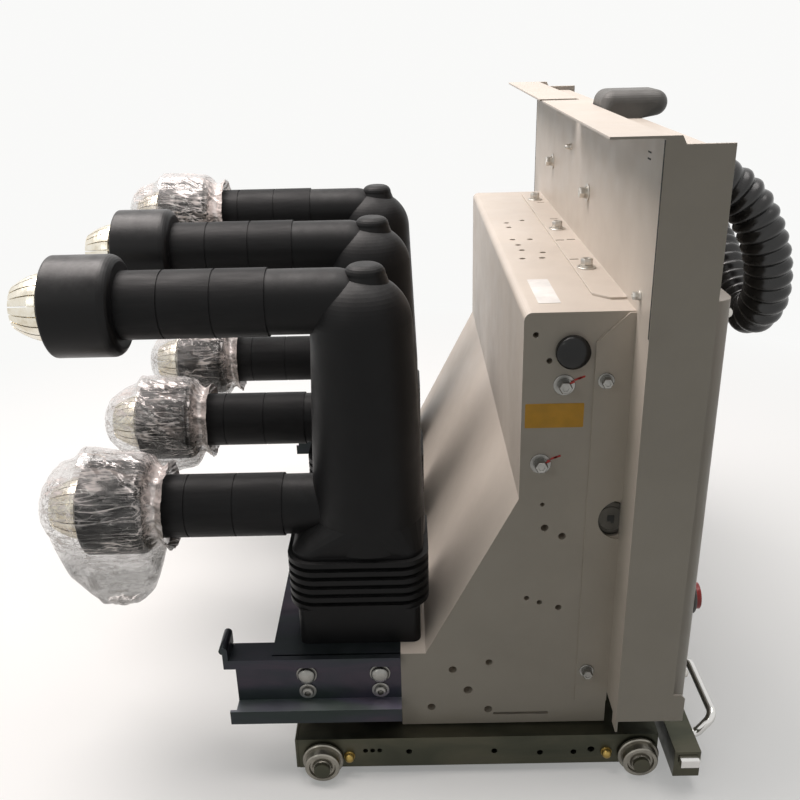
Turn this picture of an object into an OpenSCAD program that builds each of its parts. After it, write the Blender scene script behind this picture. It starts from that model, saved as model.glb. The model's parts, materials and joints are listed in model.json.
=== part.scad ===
// Withdrawable medium-voltage vacuum circuit breaker on its racking truck.
// Working frame: X = 0 on the pole axes, contact arms towards -X, front panel towards +X,
// Y across the phases with the middle pole at 0, Z up from the floor under the wheels.
// The finished part is shifted along X so that its origin is under the middle of its box.

/* [Phases] */
// Distance between neighbouring pole axes
phase_pitch = 210; // [196:1:220]
// Height of the upper arm axis above the floor
upper_axis_z = 462; // [450:1:475]
// Distance between the upper and lower arm axes
arm_pitch = 205; // [195:1:212]
// Reach of the contact tips behind the pole axis
tip_reach = 308; // [296:1:326]

/* [Poles] */
// Diameter of the pole column under its dome
column_d = 93; // [86:1:100]
// Extra radius of the column at its foot
column_flare = 8; // [4:0.5:10]
// Height of the dome's centre below the upper arm axis
dome_drop = 22; // [18:1:30]
// Diameter of the round boss on the dome
boss_d = 37; // [30:1:40]
// Height of the boss above the upper arm axis
boss_rise = 33; // [30:1:36]
// Offset of the boss in front of the pole axis
boss_x = 5; // [0:1:8]
// Length of the ribbed lower body along X
lower_body_l = 126; // [118:1:130]
// Width of the ribbed lower body along Y
lower_body_w = 100; // [96:1:108]
// Offset of the lower body behind the pole axis
lower_body_back = 11; // [6:1:14]
// Number of insulating ribs
rib_count = 6; // [4:1:6]
// Distance from one rib to the next
rib_pitch = 9.5; // [8:0.5:10]
// Thickness of one rib
rib_t = 5; // [3:0.5:6]
// Reach of a rib beyond the lower body
rib_reach = 5; // [3:0.5:6]
// Height of the base block under the ribs
base_h = 38; // [30:1:44]

/* [Arms] */
// Diameter of the insulating sleeve on an arm
sleeve_d = 62; // [56:1:66]
// Diameter of the pole's own stub behind the sleeve
stub_d = 59; // [50:1:60]
// Distance from the pole axis to the sleeve's end
sleeve_start = 82; // [74:1:92]
// Distance between a sleeve's ring grooves, as a share of its length
groove_share = 0.325; // [0.26:0.005:0.36]
// Width of a ring groove
groove_w = 1.6; // [1:0.2:3]
// Depth of a ring groove
groove_depth = 1; // [0.6:0.1:1.6]

/* [Contacts] */
// Outer diameter of a contact shield
shield_d = 92; // [88:1:100]
// Length of a contact shield
shield_l = 61; // [56:1:68]
// Wall of a contact shield
shield_wall = 5; // [4:0.5:7]
// Rounding of a shield's edges
shield_round = 9; // [6:1:12]
// Length of the fingers standing out of the shield
finger_out = 34; // [28:1:38]
// Outer diameter of the finger ring
finger_ring_d = 62; // [58:1:66]
// Length of the finger ring
finger_ring_l = 60; // [54:1:64]
// Bore between the finger tips
contact_bore_d = 35; // [32:1:37]
// Length of the fingers' contact pads
pad_l = 11; // [8:1:14]
// Length of the fingers' tapering nose
nose_l = 26; // [20:1:28]
// Rounding at the mouth of the bore
mouth_r = 3; // [2:0.5:4]
// Width of the grooves for the ring springs
spring_w = 6; // [4:0.5:8]
// Depth of the grooves for the ring springs
spring_depth = 2; // [1:0.25:3]
// Number of fingers
finger_count = 20; // [14:1:24]
// Gap between two fingers
finger_gap = 1.2; // [0.8:0.1:1.4]

/* [Film covers] */
// Thickness of the soft film bags
film_t = 1; // [0.6:0.1:1.6]
// Gap between a film bag and the shield in it
film_slack = 5; // [4:0.5:8]
// Reach of a bag beyond the finger tips in it
film_tip = 12; // [6:1:16]
// Length of the gathered neck of a bag on its sleeve
film_neck_l = 14; // [8:1:20]
// Sag of a bag under its arm
film_sag = 8; // [4:1:14]
// Depth of the loose pouch under the nearest bag
pouch_drop = 56; // [40:1:62]

/* [Housing] */
// Width of the housing over its side plates
housing_w = 566; // [556:2:576]
// Distance from the pole axis to the housing's rear face
housing_rear = 137; // [128:1:144]
// Height of the housing's top
housing_top_z = 469; // [455:1:480]
// Height of the shelf under the poles
shelf_z = 131; // [126:1:136]
// Where the shelf's rear edge lies
shelf_edge = 28; // [20:1:34]
// Where the sloping face meets the shelf
slope_foot = 52; // [50:1:58]
// Height where the sloping face meets the rear face
knee_z = 297; // [280:1:310]
// Thickness of the sheet metal
sheet_t = 2; // [1.5:0.25:2.5]
// Radius of the housing's bent edges
bend_r = 7; // [4:1:10]
// Gap between the side plates and the truck
plate_lift = 2; // [1:0.5:3]
// Rear edge of the narrow cover plate on a side
side_cover_x = 197; // [190:1:204]
// Radius of the half-round window in the side cover
window_r = 20; // [16:1:24]
// Height of the half-round window
window_z = 275; // [260:1:290]
// Diameter of the round blanking plug in a side
blank_d = 29; // [24:1:34]
// Distance of the blanking plug in front of the rear face
blank_x = 41; // [36:1:48]
// Thickness of the blanking plug's head
blank_t = 4; // [3:0.5:5]
// Distance of the blanking plug below the top
blank_drop = 34; // [28:1:40]

/* [Pole carrier] */
// Reach of the pole brackets behind the pole axis
bracket_reach = 142; // [136:1:150]
// Thickness of the brackets and the pole shelf
bracket_t = 3; // [2:0.5:4]
// Height of a bracket's outer flange
bracket_flange_z = 76; // [72:1:82]
// Width of a bracket's flanges
bracket_flange_w = 17; // [13:1:18]
// Depth of the lip under the outer flange
bracket_lip = 15; // [10:1:18]
// Height of the hooked end above a bracket's top
bracket_hook = 11; // [8:1:16]
// Height of the rolled edge along a bracket's top
bracket_edge_h = 10; // [7:1:12]
// Reach of the rolled edge beyond a bracket's web
bracket_edge_w = 6; // [4:1:8]
// Rear edge of the shelf that the poles stand on
pole_shelf_back = 96; // [90:1:110]

/* [Front pan] */
// Reach of the front pan beyond each side of the housing
pan_overhang = 43; // [38:1:48]
// Distance from the pole axis to the pan's back plate
pan_x = 228; // [222:1:236]
// Depth of the pan's side walls
pan_depth = 51; // [46:1:56]
// Height of the pan's lower edge
pan_bottom_z = 82; // [72:1:92]
// Height of the pan's top flange
pan_top_z = 611; // [600:1:625]
// Reach of the top flange over the housing
top_flange = 40; // [30:1:46]
// Reach of the foot flange on the housing
foot_flange = 27; // [20:1:30]
// Length of the foot flange
foot_flange_l = 492; // [460:2:520]

/* [Front cover] */
// How far the front cover stands out of the pan
cover_proud = 17; // [14:1:24]
// How far the cover's upper part lies behind its lower part
cover_recess = 18; // [14:1:24]
// Height of the cover's step below its top
cover_step = 115; // [100:1:124]
// Gap between the cover and the pan's side walls
cover_gap = 8; // [6:1:14]
// Rounding of the cover's upright edges
cover_round = 16; // [10:1:22]
// Drop of the cover's top below the pan's flange
cover_drop = 9; // [6:1:14]
// Width of the slope at the cover's top edge
cover_slope = 8; // [6:1:12]
// Width of the control panel on the cover
panel_w = 220; // [180:2:260]
// Height of the control panel on the cover
panel_h = 250; // [210:2:280]
// Thickness of the control panel
panel_t = 4; // [3:0.5:6]
// Depth of the indicator windows
window_depth = 2.5; // [1.5:0.25:3]
// Diameter of the crank socket
socket_d = 30; // [24:1:34]
// Depth of the crank socket
socket_depth = 20; // [14:1:24]
// Height of the raised hood on the cover's top
hood_h = 25; // [18:1:30]
// Width of the hood
hood_w = 56; // [44:1:64]
// Rounding of the hood's edges
hood_round = 12; // [8:1:12]
// Distance of the hood from the middle, on the near side
hood_y = 60; // [40:1:80]
// Height of the side push-button above the pan's lower edge
side_button_rise = 113; // [90:1:130]
// Diameter of the push-buttons
button_d = 24; // [18:1:30]
// Height of the push-buttons
button_h = 8; // [6:0.5:10]

/* [Truck] */
// Reach of the truck's side channels beyond the housing
truck_overhang = 17; // [12:1:22]
// Distance of the rear axle from the side channels' rear end
axle_inset = 24; // [22:1:32]
// Front end of the side channels
truck_front = 278; // [272:1:281]
// Height of the truck's top
truck_top_z = 43; // [42:0.5:46]
// Thickness of the truck's sheet metal
truck_t = 3; // [2:0.5:3.5]
// Width of the channels' top flanges
truck_flange = 38; // [32:1:44]
// Height of the channels' lower edge above the floor
truck_clear = 8; // [5:0.5:9]
// Diameter of the wheels over their flanges
wheel_d = 40; // [36:1:42]
// Diameter of the wheels' running tread
tread_d = 34; // [30:1:35]
// Width of a wheel
wheel_w = 14; // [12:1:18]
// Distance between the front and rear axles
wheel_base = 310; // [296:1:316]
// Distance from the pole axis to the front axle
front_axle_x = 259; // [250:1:262]
// Diameter of an axle pin
axle_d = 10; // [8:0.5:12]
// Radial clearance of a wheel on its pin
axle_clear = 0.05; // [0.02:0.01:0.1]

/* [Crossbeam] */
// Width of the crossbeam along X
beam_w = 25; // [20:1:28]
// Reach of the crossbeam beyond the truck's side channels
beam_overhang = 25.5; // [22:0.5:30]
// Height of the crossbeam
beam_h = 30; // [26:1:32]
// Gap between the truck and the crossbeam
beam_gap = 9; // [7:1:12]
// Travel of the crossbeam on its screw
beam_travel = 200; // [150:5:210]
// Diameter of the racking screw
screw_d = 16; // [12:1:18]
// Side of a guide bar's section
guide_w = 12; // [10:1:14]
// Distance of each guide bar from the truck's side
guide_inset = 50; // [44:1:60]
// Length of the guides that stays in the truck at full travel
guide_spare = 90; // [80:1:110]
// Working gap at the guides and the locking bolts
slide_gap = 0.3; // [0.2:0.05:0.5]

/* [Handles] */
// Diameter of the handle's bar
handle_d = 9; // [8:0.5:10]
// Distance between a handle's legs
handle_span = 84; // [78:1:92]
// Distance of each handle's middle from the crossbeam's end
handle_inset = 75.5; // [70:0.5:82]
// Length of a handle's slanting leg
handle_leg_l = 21; // [19:1:28]
// Angle of the legs above level
handle_tilt = 55; // [45:1:60]
// Bend radius of the handle's bar
handle_bend = 9; // [8:0.5:11]
// Inward travel of a handle
handle_travel = 14; // [8:1:16]
// Reach of the locking bolt beyond the beam's end
bolt_out = 8; // [4:1:10]

/* [Hose] */
// Diameter of the corrugated hose
hose_d = 40; // [38:0.5:41]
// Wall of the hose's end fittings
gland_wall = 4; // [3:0.5:6]

/* [Hidden] */

black = [0.07, 0.07, 0.075];
film_tint = [0.85, 0.87, 0.88, 0.5];
silver = [0.78, 0.76, 0.7];
paint = [0.66, 0.63, 0.58];
dark_zinc = [0.2, 0.24, 0.25];
yellow_zinc = [0.55, 0.52, 0.38];
chrome = [0.8, 0.8, 0.8];
dark_grey = [0.25, 0.24, 0.23];
red = [0.7, 0.1, 0.08];

near = -1;
middle = 0;
far = 1;
seat = 0.3;
over = 1;
smooth = 72;
blend = 32;

lower_axis_z = upper_axis_z - arm_pitch;
sleeve_r = sleeve_d / 2;
shield_tip = tip_reach - finger_out;
shield_back = shield_tip - shield_l;
finger_ring_back = tip_reach - finger_ring_l;
bag_reach = tip_reach + film_tip;
sleeve_end = shield_back + shield_wall + 6;

pole_base_z = shelf_z;
rib_start_z = pole_base_z + base_h;
rib_stack = (rib_count - 1) * rib_pitch + rib_t;
body_top_z = rib_start_z + rib_stack + 5;
base_set_in = 8;
base_round = 8;
body_round = 22;
shoulder_h = 24;
stub_root = 22;
dome_z = upper_axis_z - dome_drop;

housing_floor_z = truck_top_z;
pan_w = housing_w + 2 * pan_overhang;
side_y = housing_w / 2;
core_w = housing_w - 2 * sheet_t;
hub_x = pan_x - 8;
hub_pocket_r = window_r - 2;
blank_hole_d = blank_d - 6;
cover_x = pan_x + pan_depth + cover_proud;
upper_x = cover_x - cover_recess;
cover_half = pan_w / 2 - sheet_t - cover_gap;
cover_top_z = pan_top_z - sheet_t - cover_drop;
cover_bottom_z = pan_bottom_z + cover_gap;
cover_step_z = cover_top_z - cover_step;
panel_z = (cover_top_z + cover_bottom_z) / 2;
panel_round = 12;
pane_w = 50;
pane_h = 28;
pane_round = 3;

truck_w = housing_w + 2 * truck_overhang;
wheel_r = wheel_d / 2;
axle_r = axle_d / 2;
rear_axle_x = front_axle_x - wheel_base;
truck_back = axle_inset - rear_axle_x;
web_y = truck_w / 2;
wheel_gap = 1;
wheel_y = web_y + wheel_gap;
floor_top_z = truck_clear + 2 * truck_t;

beam_l = truck_w + 2 * beam_overhang;
guide_y = truck_w / 2 - guide_inset;
handle_y = beam_l / 2 - handle_inset;
beam_x = truck_front + beam_gap;
beam_top_z = truck_top_z + 1;
beam_bottom_z = beam_top_z - beam_h;
beam_front = beam_x + beam_w;
screw_z = beam_bottom_z + beam_h / 2;
guide_l = beam_travel + guide_spare;
handle_r = handle_d / 2;
handle_foot_z = beam_top_z - 8;
guide_block_l = 60;
guide_block_x = truck_front - guide_block_l - 10;
strap_w = 40;
bolt_h = 8;
bolt_z = handle_foot_z - bolt_h / 2;
bolt_back = beam_x + 4;
bolt_front = beam_front - 3;
slot_back = beam_front - 4;
grip_x = beam_front + over + handle_bend * sin(handle_tilt) + handle_leg_l * cos(handle_tilt);

// The box's middle, which becomes the origin
box_mid_x = (grip_x + handle_r - bag_reach) / 2;

// Route of the hose's centre line, from its upper fitting to its lower one
hose_route = [
    [292, -236, 562], [303, -236, 562], [316, -236, 553], [328, -237, 540],
    [338, -238, 522], [346, -237, 502], [351, -234, 481], [353, -228, 462],
    [352, -217, 447], [350, -202, 441], [349, -184, 446], [347, -166, 455],
    [345, -148, 467], [343, -130, 479], [340, -112, 490], [337, -96, 498],
    [333, -82, 505], [327, -71, 509], [318, -65, 510], [306, -65, 510]
];
hose_sides = 12;

// Hand-placed holes of a side plate, as [x, z, diameter]
plate_holes = [
    [147, 450, 5], [159, 427, 5], [158, 291, 4], [161, 267, 7], [177, 258, 7],
    [147, 192, 5], [159, 187, 5], [177, 181, 6], [78, 111, 8], [113, 119, 7],
    [93, 86, 9], [57, 66, 8], [113, 62, 8]
];

// Depth of the holes in the housing
hole_depth = 14;

// Holes of a truck channel's web, as [x, z, diameter]
web_holes = [
    [34, 26, 6], [118, 25, 6], [163, 22, 6], [196, 22, 6], [213, 25, 7],
    [-9, 28, 5], [-2, 28, 5], [5, 28, 5]
];

// Long slot of a side plate
plate_slot_back = 110;
plate_slot_l = 54;
plate_slot_z = 55;
plate_slot_h = 3;

// Slots of the foot flange, as [x, y]
foot_slot_l = 9;
foot_slot_w = 3;
foot_slot_places = [[218, 191], [218, 83], [219, -28], [219, -113], [207, -30], [207, -115]];

// Small holes of the housing's top, as [x, y]
top_hole_d = 6.5;
top_holes = [
    [161, 75], [181, 88], [161, 50], [158, -14], [177, -14], [161, -40],
    [162, -64], [182, -76], [158, -100], [178, -99]
];

// Shared shapes

module at_origin() {
    translate([-box_mid_x, 0, 0]) children();
}

module along_x() {
    rotate([0, 90, 0]) children();
}

module along_y() {
    rotate([-90, 0, 0]) children();
}

// Turns an outline drawn in X and Z into a slab across Y
module across(y0, y1) {
    translate([0, y1, 0]) rotate([90, 0, 0]) linear_extrude(y1 - y0) children();
}

module mirrored_y(side) {
    if (side > 0) mirror([0, 1, 0]) children();
    else children();
}

module block(lo, hi) {
    translate(lo) cube(hi - lo);
}

module rounded_rect(l, w, r) {
    square([l - 2 * r, w], center = true);
    square([l, w - 2 * r], center = true);
    for (sx = [-1, 1], sy = [-1, 1])
        translate([sx * (l / 2 - r), sy * (w / 2 - r)]) circle(r, $fn = smooth);
}

function arc(centre, r, a0, a1, steps) =
    [for (i = [0 : steps]) centre + r * [cos(a0 + (a1 - a0) * i / steps), sin(a0 + (a1 - a0) * i / steps)]];

// Poles

module pole_lower_body() {
    rib_l = lower_body_l + 2 * rib_reach;
    rib_w = lower_body_w + 2 * rib_reach;
    translate([-lower_body_back, 0, 0]) {
        translate([0, 0, pole_base_z])
            linear_extrude(base_h) rounded_rect(lower_body_l - base_set_in, rib_w, base_round);
        translate([0, 0, rib_start_z])
            linear_extrude(body_top_z - rib_start_z) rounded_rect(lower_body_l, lower_body_w, body_round);
        for (i = [0 : rib_count - 1])
            translate([0, 0, rib_start_z + i * rib_pitch])
                linear_extrude(rib_t) rounded_rect(rib_l, rib_w, body_round + rib_reach);
    }
}

module pole_shoulder() {
    hull() {
        translate([-lower_body_back, 0, body_top_z - 1])
            linear_extrude(1) rounded_rect(lower_body_l, lower_body_w, body_round, $fn = blend);
        translate([0, 0, body_top_z + shoulder_h])
            cylinder(r = column_d / 2 + column_flare, h = 1, $fn = blend);
    }
}

module pole_column() {
    top_r = column_d / 2;
    foot_r = top_r + column_flare;
    rotate_extrude($fn = smooth)
        polygon(concat(
            [[0, body_top_z], [foot_r, body_top_z], [foot_r, body_top_z + shoulder_h + 2]],
            arc([0, dome_z], top_r, 0, 90, 18)));
}

module pole_stub(z) {
    stub_r = stub_d / 2;
    translate([-sleeve_start, 0, z]) along_x()
        cylinder(r = stub_r, h = sleeve_start - stub_root, $fn = smooth);
    translate([-stub_root, 0, z]) sphere(stub_r, $fn = smooth);
}

module pole_boss() {
    r = boss_d / 2;
    top_z = upper_axis_z + boss_rise;
    round_r = r / 2;
    skirt_r = r + 5;
    skirt_z = top_z - r;
    translate([boss_x, 0, 0]) rotate_extrude($fn = smooth) polygon(concat(
        [[0, dome_z], [skirt_r, dome_z], [skirt_r, skirt_z - 4]],
        arc([r, top_z - round_r], round_r, 0, 90, 6) - [for (i = [0 : 6]) [round_r, 0]],
        [[0, top_z]]));
}

module pole(side) {
    color(black) at_origin() translate([0, side * phase_pitch, 0]) {
        pole_lower_body();
        pole_shoulder();
        pole_column();
        pole_stub(upper_axis_z);
        pole_stub(lower_axis_z);
        pole_boss();
    }
}

// Arms, contacts and shields, each revolved about its arm's axis

module on_arm(side, z) {
    at_origin() translate([0, side * phase_pitch, z]) along_x() children();
}

module arm(side, z) {
    groove_pitch = groove_share * (sleeve_end - sleeve_start);
    g0 = sleeve_start + groove_pitch;
    g1 = g0 + groove_pitch;
    groove_r = sleeve_r - groove_depth;
    rod_r = sleeve_r - 9;
    color(black) on_arm(side, z) rotate_extrude($fn = smooth) polygon([
        [0, -finger_ring_back], [rod_r, -finger_ring_back], [rod_r, -sleeve_end],
        [sleeve_r, -sleeve_end], [sleeve_r, -g1 - groove_w], [groove_r, -g1 - groove_w],
        [groove_r, -g1], [sleeve_r, -g1], [sleeve_r, -g0 - groove_w], [groove_r, -g0 - groove_w],
        [groove_r, -g0], [sleeve_r, -g0], [sleeve_r, -sleeve_start], [0, -sleeve_start]
    ]);
}

module shield(side, z) {
    r = shield_d / 2;
    color(black) on_arm(side, z) rotate_extrude($fn = smooth) polygon(concat(
        [[sleeve_r + seat, -shield_back]],
        arc([r - shield_round, -shield_back - shield_round], shield_round, 90, 0, 6),
        arc([r - shield_wall / 2, -shield_tip + shield_wall / 2], shield_wall / 2, 0, -180, 8),
        [[r - shield_wall, -shield_back - shield_wall], [sleeve_r + seat, -shield_back - shield_wall]]
    ));
}

// Outline of a finger's nose, curving in from the ring to the mouth of the bore
function nose(mouth, ring_r, steps) =
    [for (i = [0 : steps]) let (t = i / steps)
        [mouth + (ring_r - mouth) * (1 - pow(1 - t, 1.6)), nose_l * t]];

function spring_groove(r, z) =
    [[r, z], [r - spring_depth, z + 1], [r - spring_depth, z + spring_w - 1], [r, z + spring_w]];

module contact(side, z) {
    r = finger_ring_d / 2;
    bore_r = contact_bore_d / 2;
    relief_r = bore_r + 3;
    rod_r = bore_r - 5;
    root_l = 12;
    root_z = finger_ring_l - root_l;
    pad_end = mouth_r + pad_l;
    color(silver) on_arm(side, z) translate([0, 0, -tip_reach]) difference() {
        rotate_extrude($fn = smooth) polygon(concat(
            arc([bore_r + mouth_r, mouth_r], mouth_r, 180, 270, 5),
            nose(bore_r + mouth_r, r, 5),
            spring_groove(r, nose_l + 2),
            spring_groove(r, root_z - spring_w),
            [[r, finger_ring_l], [rod_r, finger_ring_l], [rod_r, root_z + 4],
             [relief_r, root_z], [relief_r, pad_end + 3], [bore_r, pad_end]]
        ));
        for (i = [0 : finger_count - 1])
            rotate([0, 0, i * 360 / finger_count])
                translate([0, -finger_gap / 2, -over])
                    cube([r + over, finger_gap, root_z]);
    }
}

// Soft bags over the covered contacts

module film_form(grow, drop) {
    r = shield_d / 2 + film_slack - grow;
    tip_r = finger_ring_d / 2 - grow;
    neck_r = sleeve_r + seat + film_t - grow;
    hull() {
        translate([-shield_back, 0, 0]) along_x() cylinder(r = neck_r, h = film_slack + 2, $fn = blend);
        translate([-shield_tip, 0, 0]) along_x() cylinder(r = r, h = shield_l - 4, $fn = blend);
        translate([-bag_reach + grow, 0, 0]) along_x() cylinder(r = tip_r, h = 2, $fn = blend);
        translate([-finger_ring_back, 0, -drop]) sphere(r, $fn = 20);
    }
}

module film(side, z, drop) {
    bore_r = sleeve_r + seat;
    neck_x = -shield_back + film_slack;
    color(film_tint) at_origin() translate([0, side * phase_pitch, z]) difference() {
        union() {
            film_form(0, drop);
            translate([neck_x, 0, 0]) along_x() cylinder(r = bore_r + film_t, h = film_neck_l, $fn = smooth);
        }
        film_form(film_t, drop);
        translate([-shield_back, 0, 0]) along_x() cylinder(r = bore_r, h = shield_back, $fn = smooth);
    }
}

// Housing

module housing_outline(bottom_z) {
    polygon(concat(
        [[shelf_edge, bottom_z], [shelf_edge, shelf_z], [slope_foot, shelf_z], [housing_rear, knee_z]],
        arc([housing_rear + bend_r, housing_top_z - bend_r], bend_r, 180, 90, 6),
        [[pan_x, housing_top_z], [pan_x, bottom_z]]
    ));
}

module hub_pocket(side) {
    translate([hub_x, side * core_w / 2, window_z]) along_y() difference() {
        cylinder(r = hub_pocket_r, h = 2 * hole_depth, center = true, $fn = smooth);
        cylinder(r = window_r / 2, h = 2 * hole_depth, center = true, $fn = smooth);
    }
}

module housing() {
    color(paint) at_origin() difference() {
        across(-core_w / 2, core_w / 2) housing_outline(housing_floor_z);
        for (side = [near, far]) hub_pocket(side);
        for (p = top_holes)
            translate([p.x, p.y, housing_top_z - hole_depth])
                cylinder(d = top_hole_d, h = hole_depth + over, $fn = 24);
        foot_slots();
        for (side = [near, far]) mirrored_y(side) plate_cuts();
    }
}

// Screw holes and the long slot that run from a side plate into the housing
module plate_cuts() {
    for (h = plate_holes)
        translate([h.x, -side_y - over, h.y]) along_y() cylinder(d = h.z, h = hole_depth, $fn = 24);
    block([pan_x - plate_slot_back, -side_y - over, plate_slot_z],
          [pan_x - plate_slot_back + plate_slot_l, -side_y + hole_depth, plate_slot_z + plate_slot_h]);
}

// Slots through the pan's foot flange into the housing's top
module foot_slots() {
    for (q = foot_slot_places)
        block([q.x - foot_slot_l / 2, q.y - foot_slot_w / 2, housing_top_z - hole_depth],
              [q.x + foot_slot_l / 2, q.y + foot_slot_w / 2, housing_top_z + sheet_t + over]);
}

module side_plate(side) {
    color(paint) at_origin() mirrored_y(side) difference() {
        across(-side_y, -side_y + sheet_t) housing_outline(housing_floor_z + plate_lift);
        plate_cuts();
        translate([hub_x, -side_y, window_z]) along_y()
            cylinder(r = hub_pocket_r, h = 3 * sheet_t, center = true, $fn = smooth);
        translate([housing_rear + blank_x, -side_y, housing_top_z - blank_drop]) along_y()
            cylinder(d = blank_hole_d, h = 3 * sheet_t, center = true, $fn = smooth);
    }
}

module side_cover_outline() {
    chamfer = 26;
    bottom_z = 72;
    difference() {
        polygon([
            [side_cover_x, bottom_z], [side_cover_x, housing_top_z - chamfer],
            [side_cover_x + chamfer, housing_top_z - 1], [pan_x, housing_top_z - 1], [pan_x, bottom_z]
        ]);
        translate([pan_x, window_z]) circle(window_r, $fn = smooth);
    }
}

module side_covers() {
    color(paint) at_origin() for (side = [near, far]) mirrored_y(side)
        across(-side_y - sheet_t, -side_y) side_cover_outline();
}

module blanking_plugs() {
    color(black) at_origin() for (side = [near, far]) mirrored_y(side)
        translate([housing_rear + blank_x, -side_y - blank_t, housing_top_z - blank_drop]) along_y() {
            cylinder(d = blank_d, h = blank_t, $fn = smooth);
            cylinder(d = blank_hole_d - 1, h = blank_t + sheet_t, $fn = smooth);
        }
}

// Carrier of the poles

module bracket() {
    y = -side_y;
    edge_y = y - bracket_edge_w;
    shelf_overlap = 8;
    web_set_in = 10;
    lip_reach = 6;
    hook_t = 5;
    roll_d = 8;
    shelf_y = y + bracket_flange_w + shelf_overlap;
    under_z = shelf_z - bracket_t;
    web_x = -bracket_reach + web_set_in;
    lip_top_z = bracket_flange_z + bracket_t;
    block([web_x, y, bracket_flange_z], [shelf_edge, y + bracket_t, under_z]);
    block([-bracket_reach, edge_y, shelf_z - bracket_edge_h], [shelf_edge, y, shelf_z]);
    block([-bracket_reach, y - over, under_z - bracket_t], [shelf_edge, shelf_y, under_z]);
    block([web_x, y - bracket_flange_w, bracket_flange_z], [shelf_edge, y + bracket_t, lip_top_z]);
    block([web_x - lip_reach, y - bracket_flange_w, lip_top_z - bracket_lip],
          [shelf_edge, y - bracket_flange_w + bracket_t, lip_top_z]);
    block([-bracket_reach, edge_y, shelf_z - over],
          [-bracket_reach + hook_t, shelf_y, shelf_z + bracket_hook]);
    translate([-bracket_reach + over, edge_y, shelf_z + bracket_hook]) along_y()
        cylinder(d = roll_d, h = shelf_y - edge_y, $fn = 32);
}

module pole_brackets() {
    color(dark_zinc) at_origin() for (side = [near, far]) mirrored_y(side) bracket();
}

module pole_shelf() {
    color(dark_zinc) at_origin()
        block([-pole_shelf_back, -core_w / 2, shelf_z - bracket_t], [shelf_edge, core_w / 2, shelf_z]);
}

// Front pan

// Side wall of the pan, with its stepped top and the flap at its lower corner
module pan_wall() {
    half = pan_w / 2;
    step_x = 12;
    step_h = 6;
    step_slope = 3;
    flap_l = 11;
    flap_h = 30;
    flap_corner = 4;
    flap_z = pan_bottom_z + flap_h;
    front = pan_x + pan_depth;
    across(-half, -half + sheet_t) polygon([
        [pan_x, pan_bottom_z], [front + flap_l, pan_bottom_z], [front + flap_l, flap_z - flap_corner],
        [front + flap_l - flap_corner, flap_z], [front, flap_z], [front, pan_top_z - step_h],
        [pan_x + step_x + step_slope, pan_top_z - step_h], [pan_x + step_x, pan_top_z], [pan_x, pan_top_z]
    ]);
}

module pan() {
    half = pan_w / 2;
    flange_gap = 20;
    flange_gap_y = 6;
    foot_mid_y = 10;
    foot_half = foot_flange_l / 2;
    corner = 14;
    tab_h = 12;
    color(paint) at_origin() {
        block([pan_x, -half, pan_bottom_z], [pan_x + sheet_t, half, pan_top_z]);
        for (side = [near, far]) mirrored_y(side) pan_wall();
        for (y = [[-half, flange_gap_y], [flange_gap_y + flange_gap, half]])
            block([pan_x - top_flange, y[0], pan_top_z - sheet_t], [pan_x + sheet_t, y[1], pan_top_z]);
        difference() {
            translate([0, foot_mid_y, housing_top_z]) linear_extrude(sheet_t) polygon([
                [pan_x + sheet_t, -foot_half - corner], [pan_x - corner, -foot_half - corner],
                [pan_x - foot_flange, -foot_half], [pan_x - foot_flange, foot_half],
                [pan_x - corner, foot_half + corner], [pan_x + sheet_t, foot_half + corner]
            ]);
            foot_slots();
        }
        for (side = [near, far]) mirrored_y(side)
            block([pan_x, -half, pan_bottom_z - tab_h], [pan_x + sheet_t, -half + corner, pan_bottom_z]);
    }
}

// Front cover with its control panel and hose fittings

module cover_outline(front) {
    depth = front - pan_x - sheet_t;
    translate([pan_x + sheet_t, -cover_half]) difference() {
        square([depth, 2 * cover_half]);
        for (y = [0, 2 * cover_half]) translate([depth, y]) square(2 * cover_round, center = true);
    }
    for (s = [-1, 1])
        translate([front - cover_round, s * (cover_half - cover_round)]) circle(cover_round, $fn = smooth);
}

module cover_panel() {
    translate([cover_x, 0, panel_z]) along_x()
        linear_extrude(panel_t) rounded_rect(panel_h, panel_w, panel_round);
}

module panel_windows() {
    for (y = [-1, 1])
        translate([cover_x + panel_t - window_depth, y * panel_w / 4, panel_z + panel_h / 4]) along_x()
            linear_extrude(window_depth + over) rounded_rect(pane_h, pane_w, pane_round);
    translate([cover_x - socket_depth, 0, panel_z - panel_h / 3]) along_x()
        cylinder(d = socket_d, h = socket_depth + panel_t + over, $fn = smooth);
}

module hose_fittings() {
    fit_r = hose_d / 2 + gland_wall;
    for (end = [hose_route[0], hose_route[len(hose_route) - 1]])
        translate([upper_x - over, end.y, end.z]) along_x()
            cylinder(r = fit_r, h = end.x - upper_x + over, $fn = smooth);
}

module front_cover() {
    cut = 4 * cover_slope;
    color(paint) at_origin() {
        difference() {
            union() {
                translate([0, 0, cover_bottom_z]) {
                    linear_extrude(cover_step_z - cover_bottom_z) cover_outline(cover_x);
                    linear_extrude(cover_top_z - cover_bottom_z) cover_outline(upper_x);
                }
                cover_panel();
            }
            panel_windows();
            translate([upper_x - cover_slope, -pan_w / 2, cover_top_z])
                rotate([0, 60, 0]) cube([cut, pan_w, cut]);
        }
        hose_fittings();
    }
}

module cover_hood() {
    start_x = pan_x + 2 * sheet_t;
    hood_l = cover_x - start_x;
    color(dark_grey) at_origin() translate([start_x, -hood_y - hood_w / 2, cover_top_z]) hull() {
        cube([upper_x - start_x - cover_slope, hood_w, 1]);
        for (x = [hood_round, hood_l - hood_round], y = [hood_round, hood_w - hood_round])
            translate([x, y, hood_h - hood_round]) sphere(hood_round, $fn = blend);
    }
}

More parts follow.
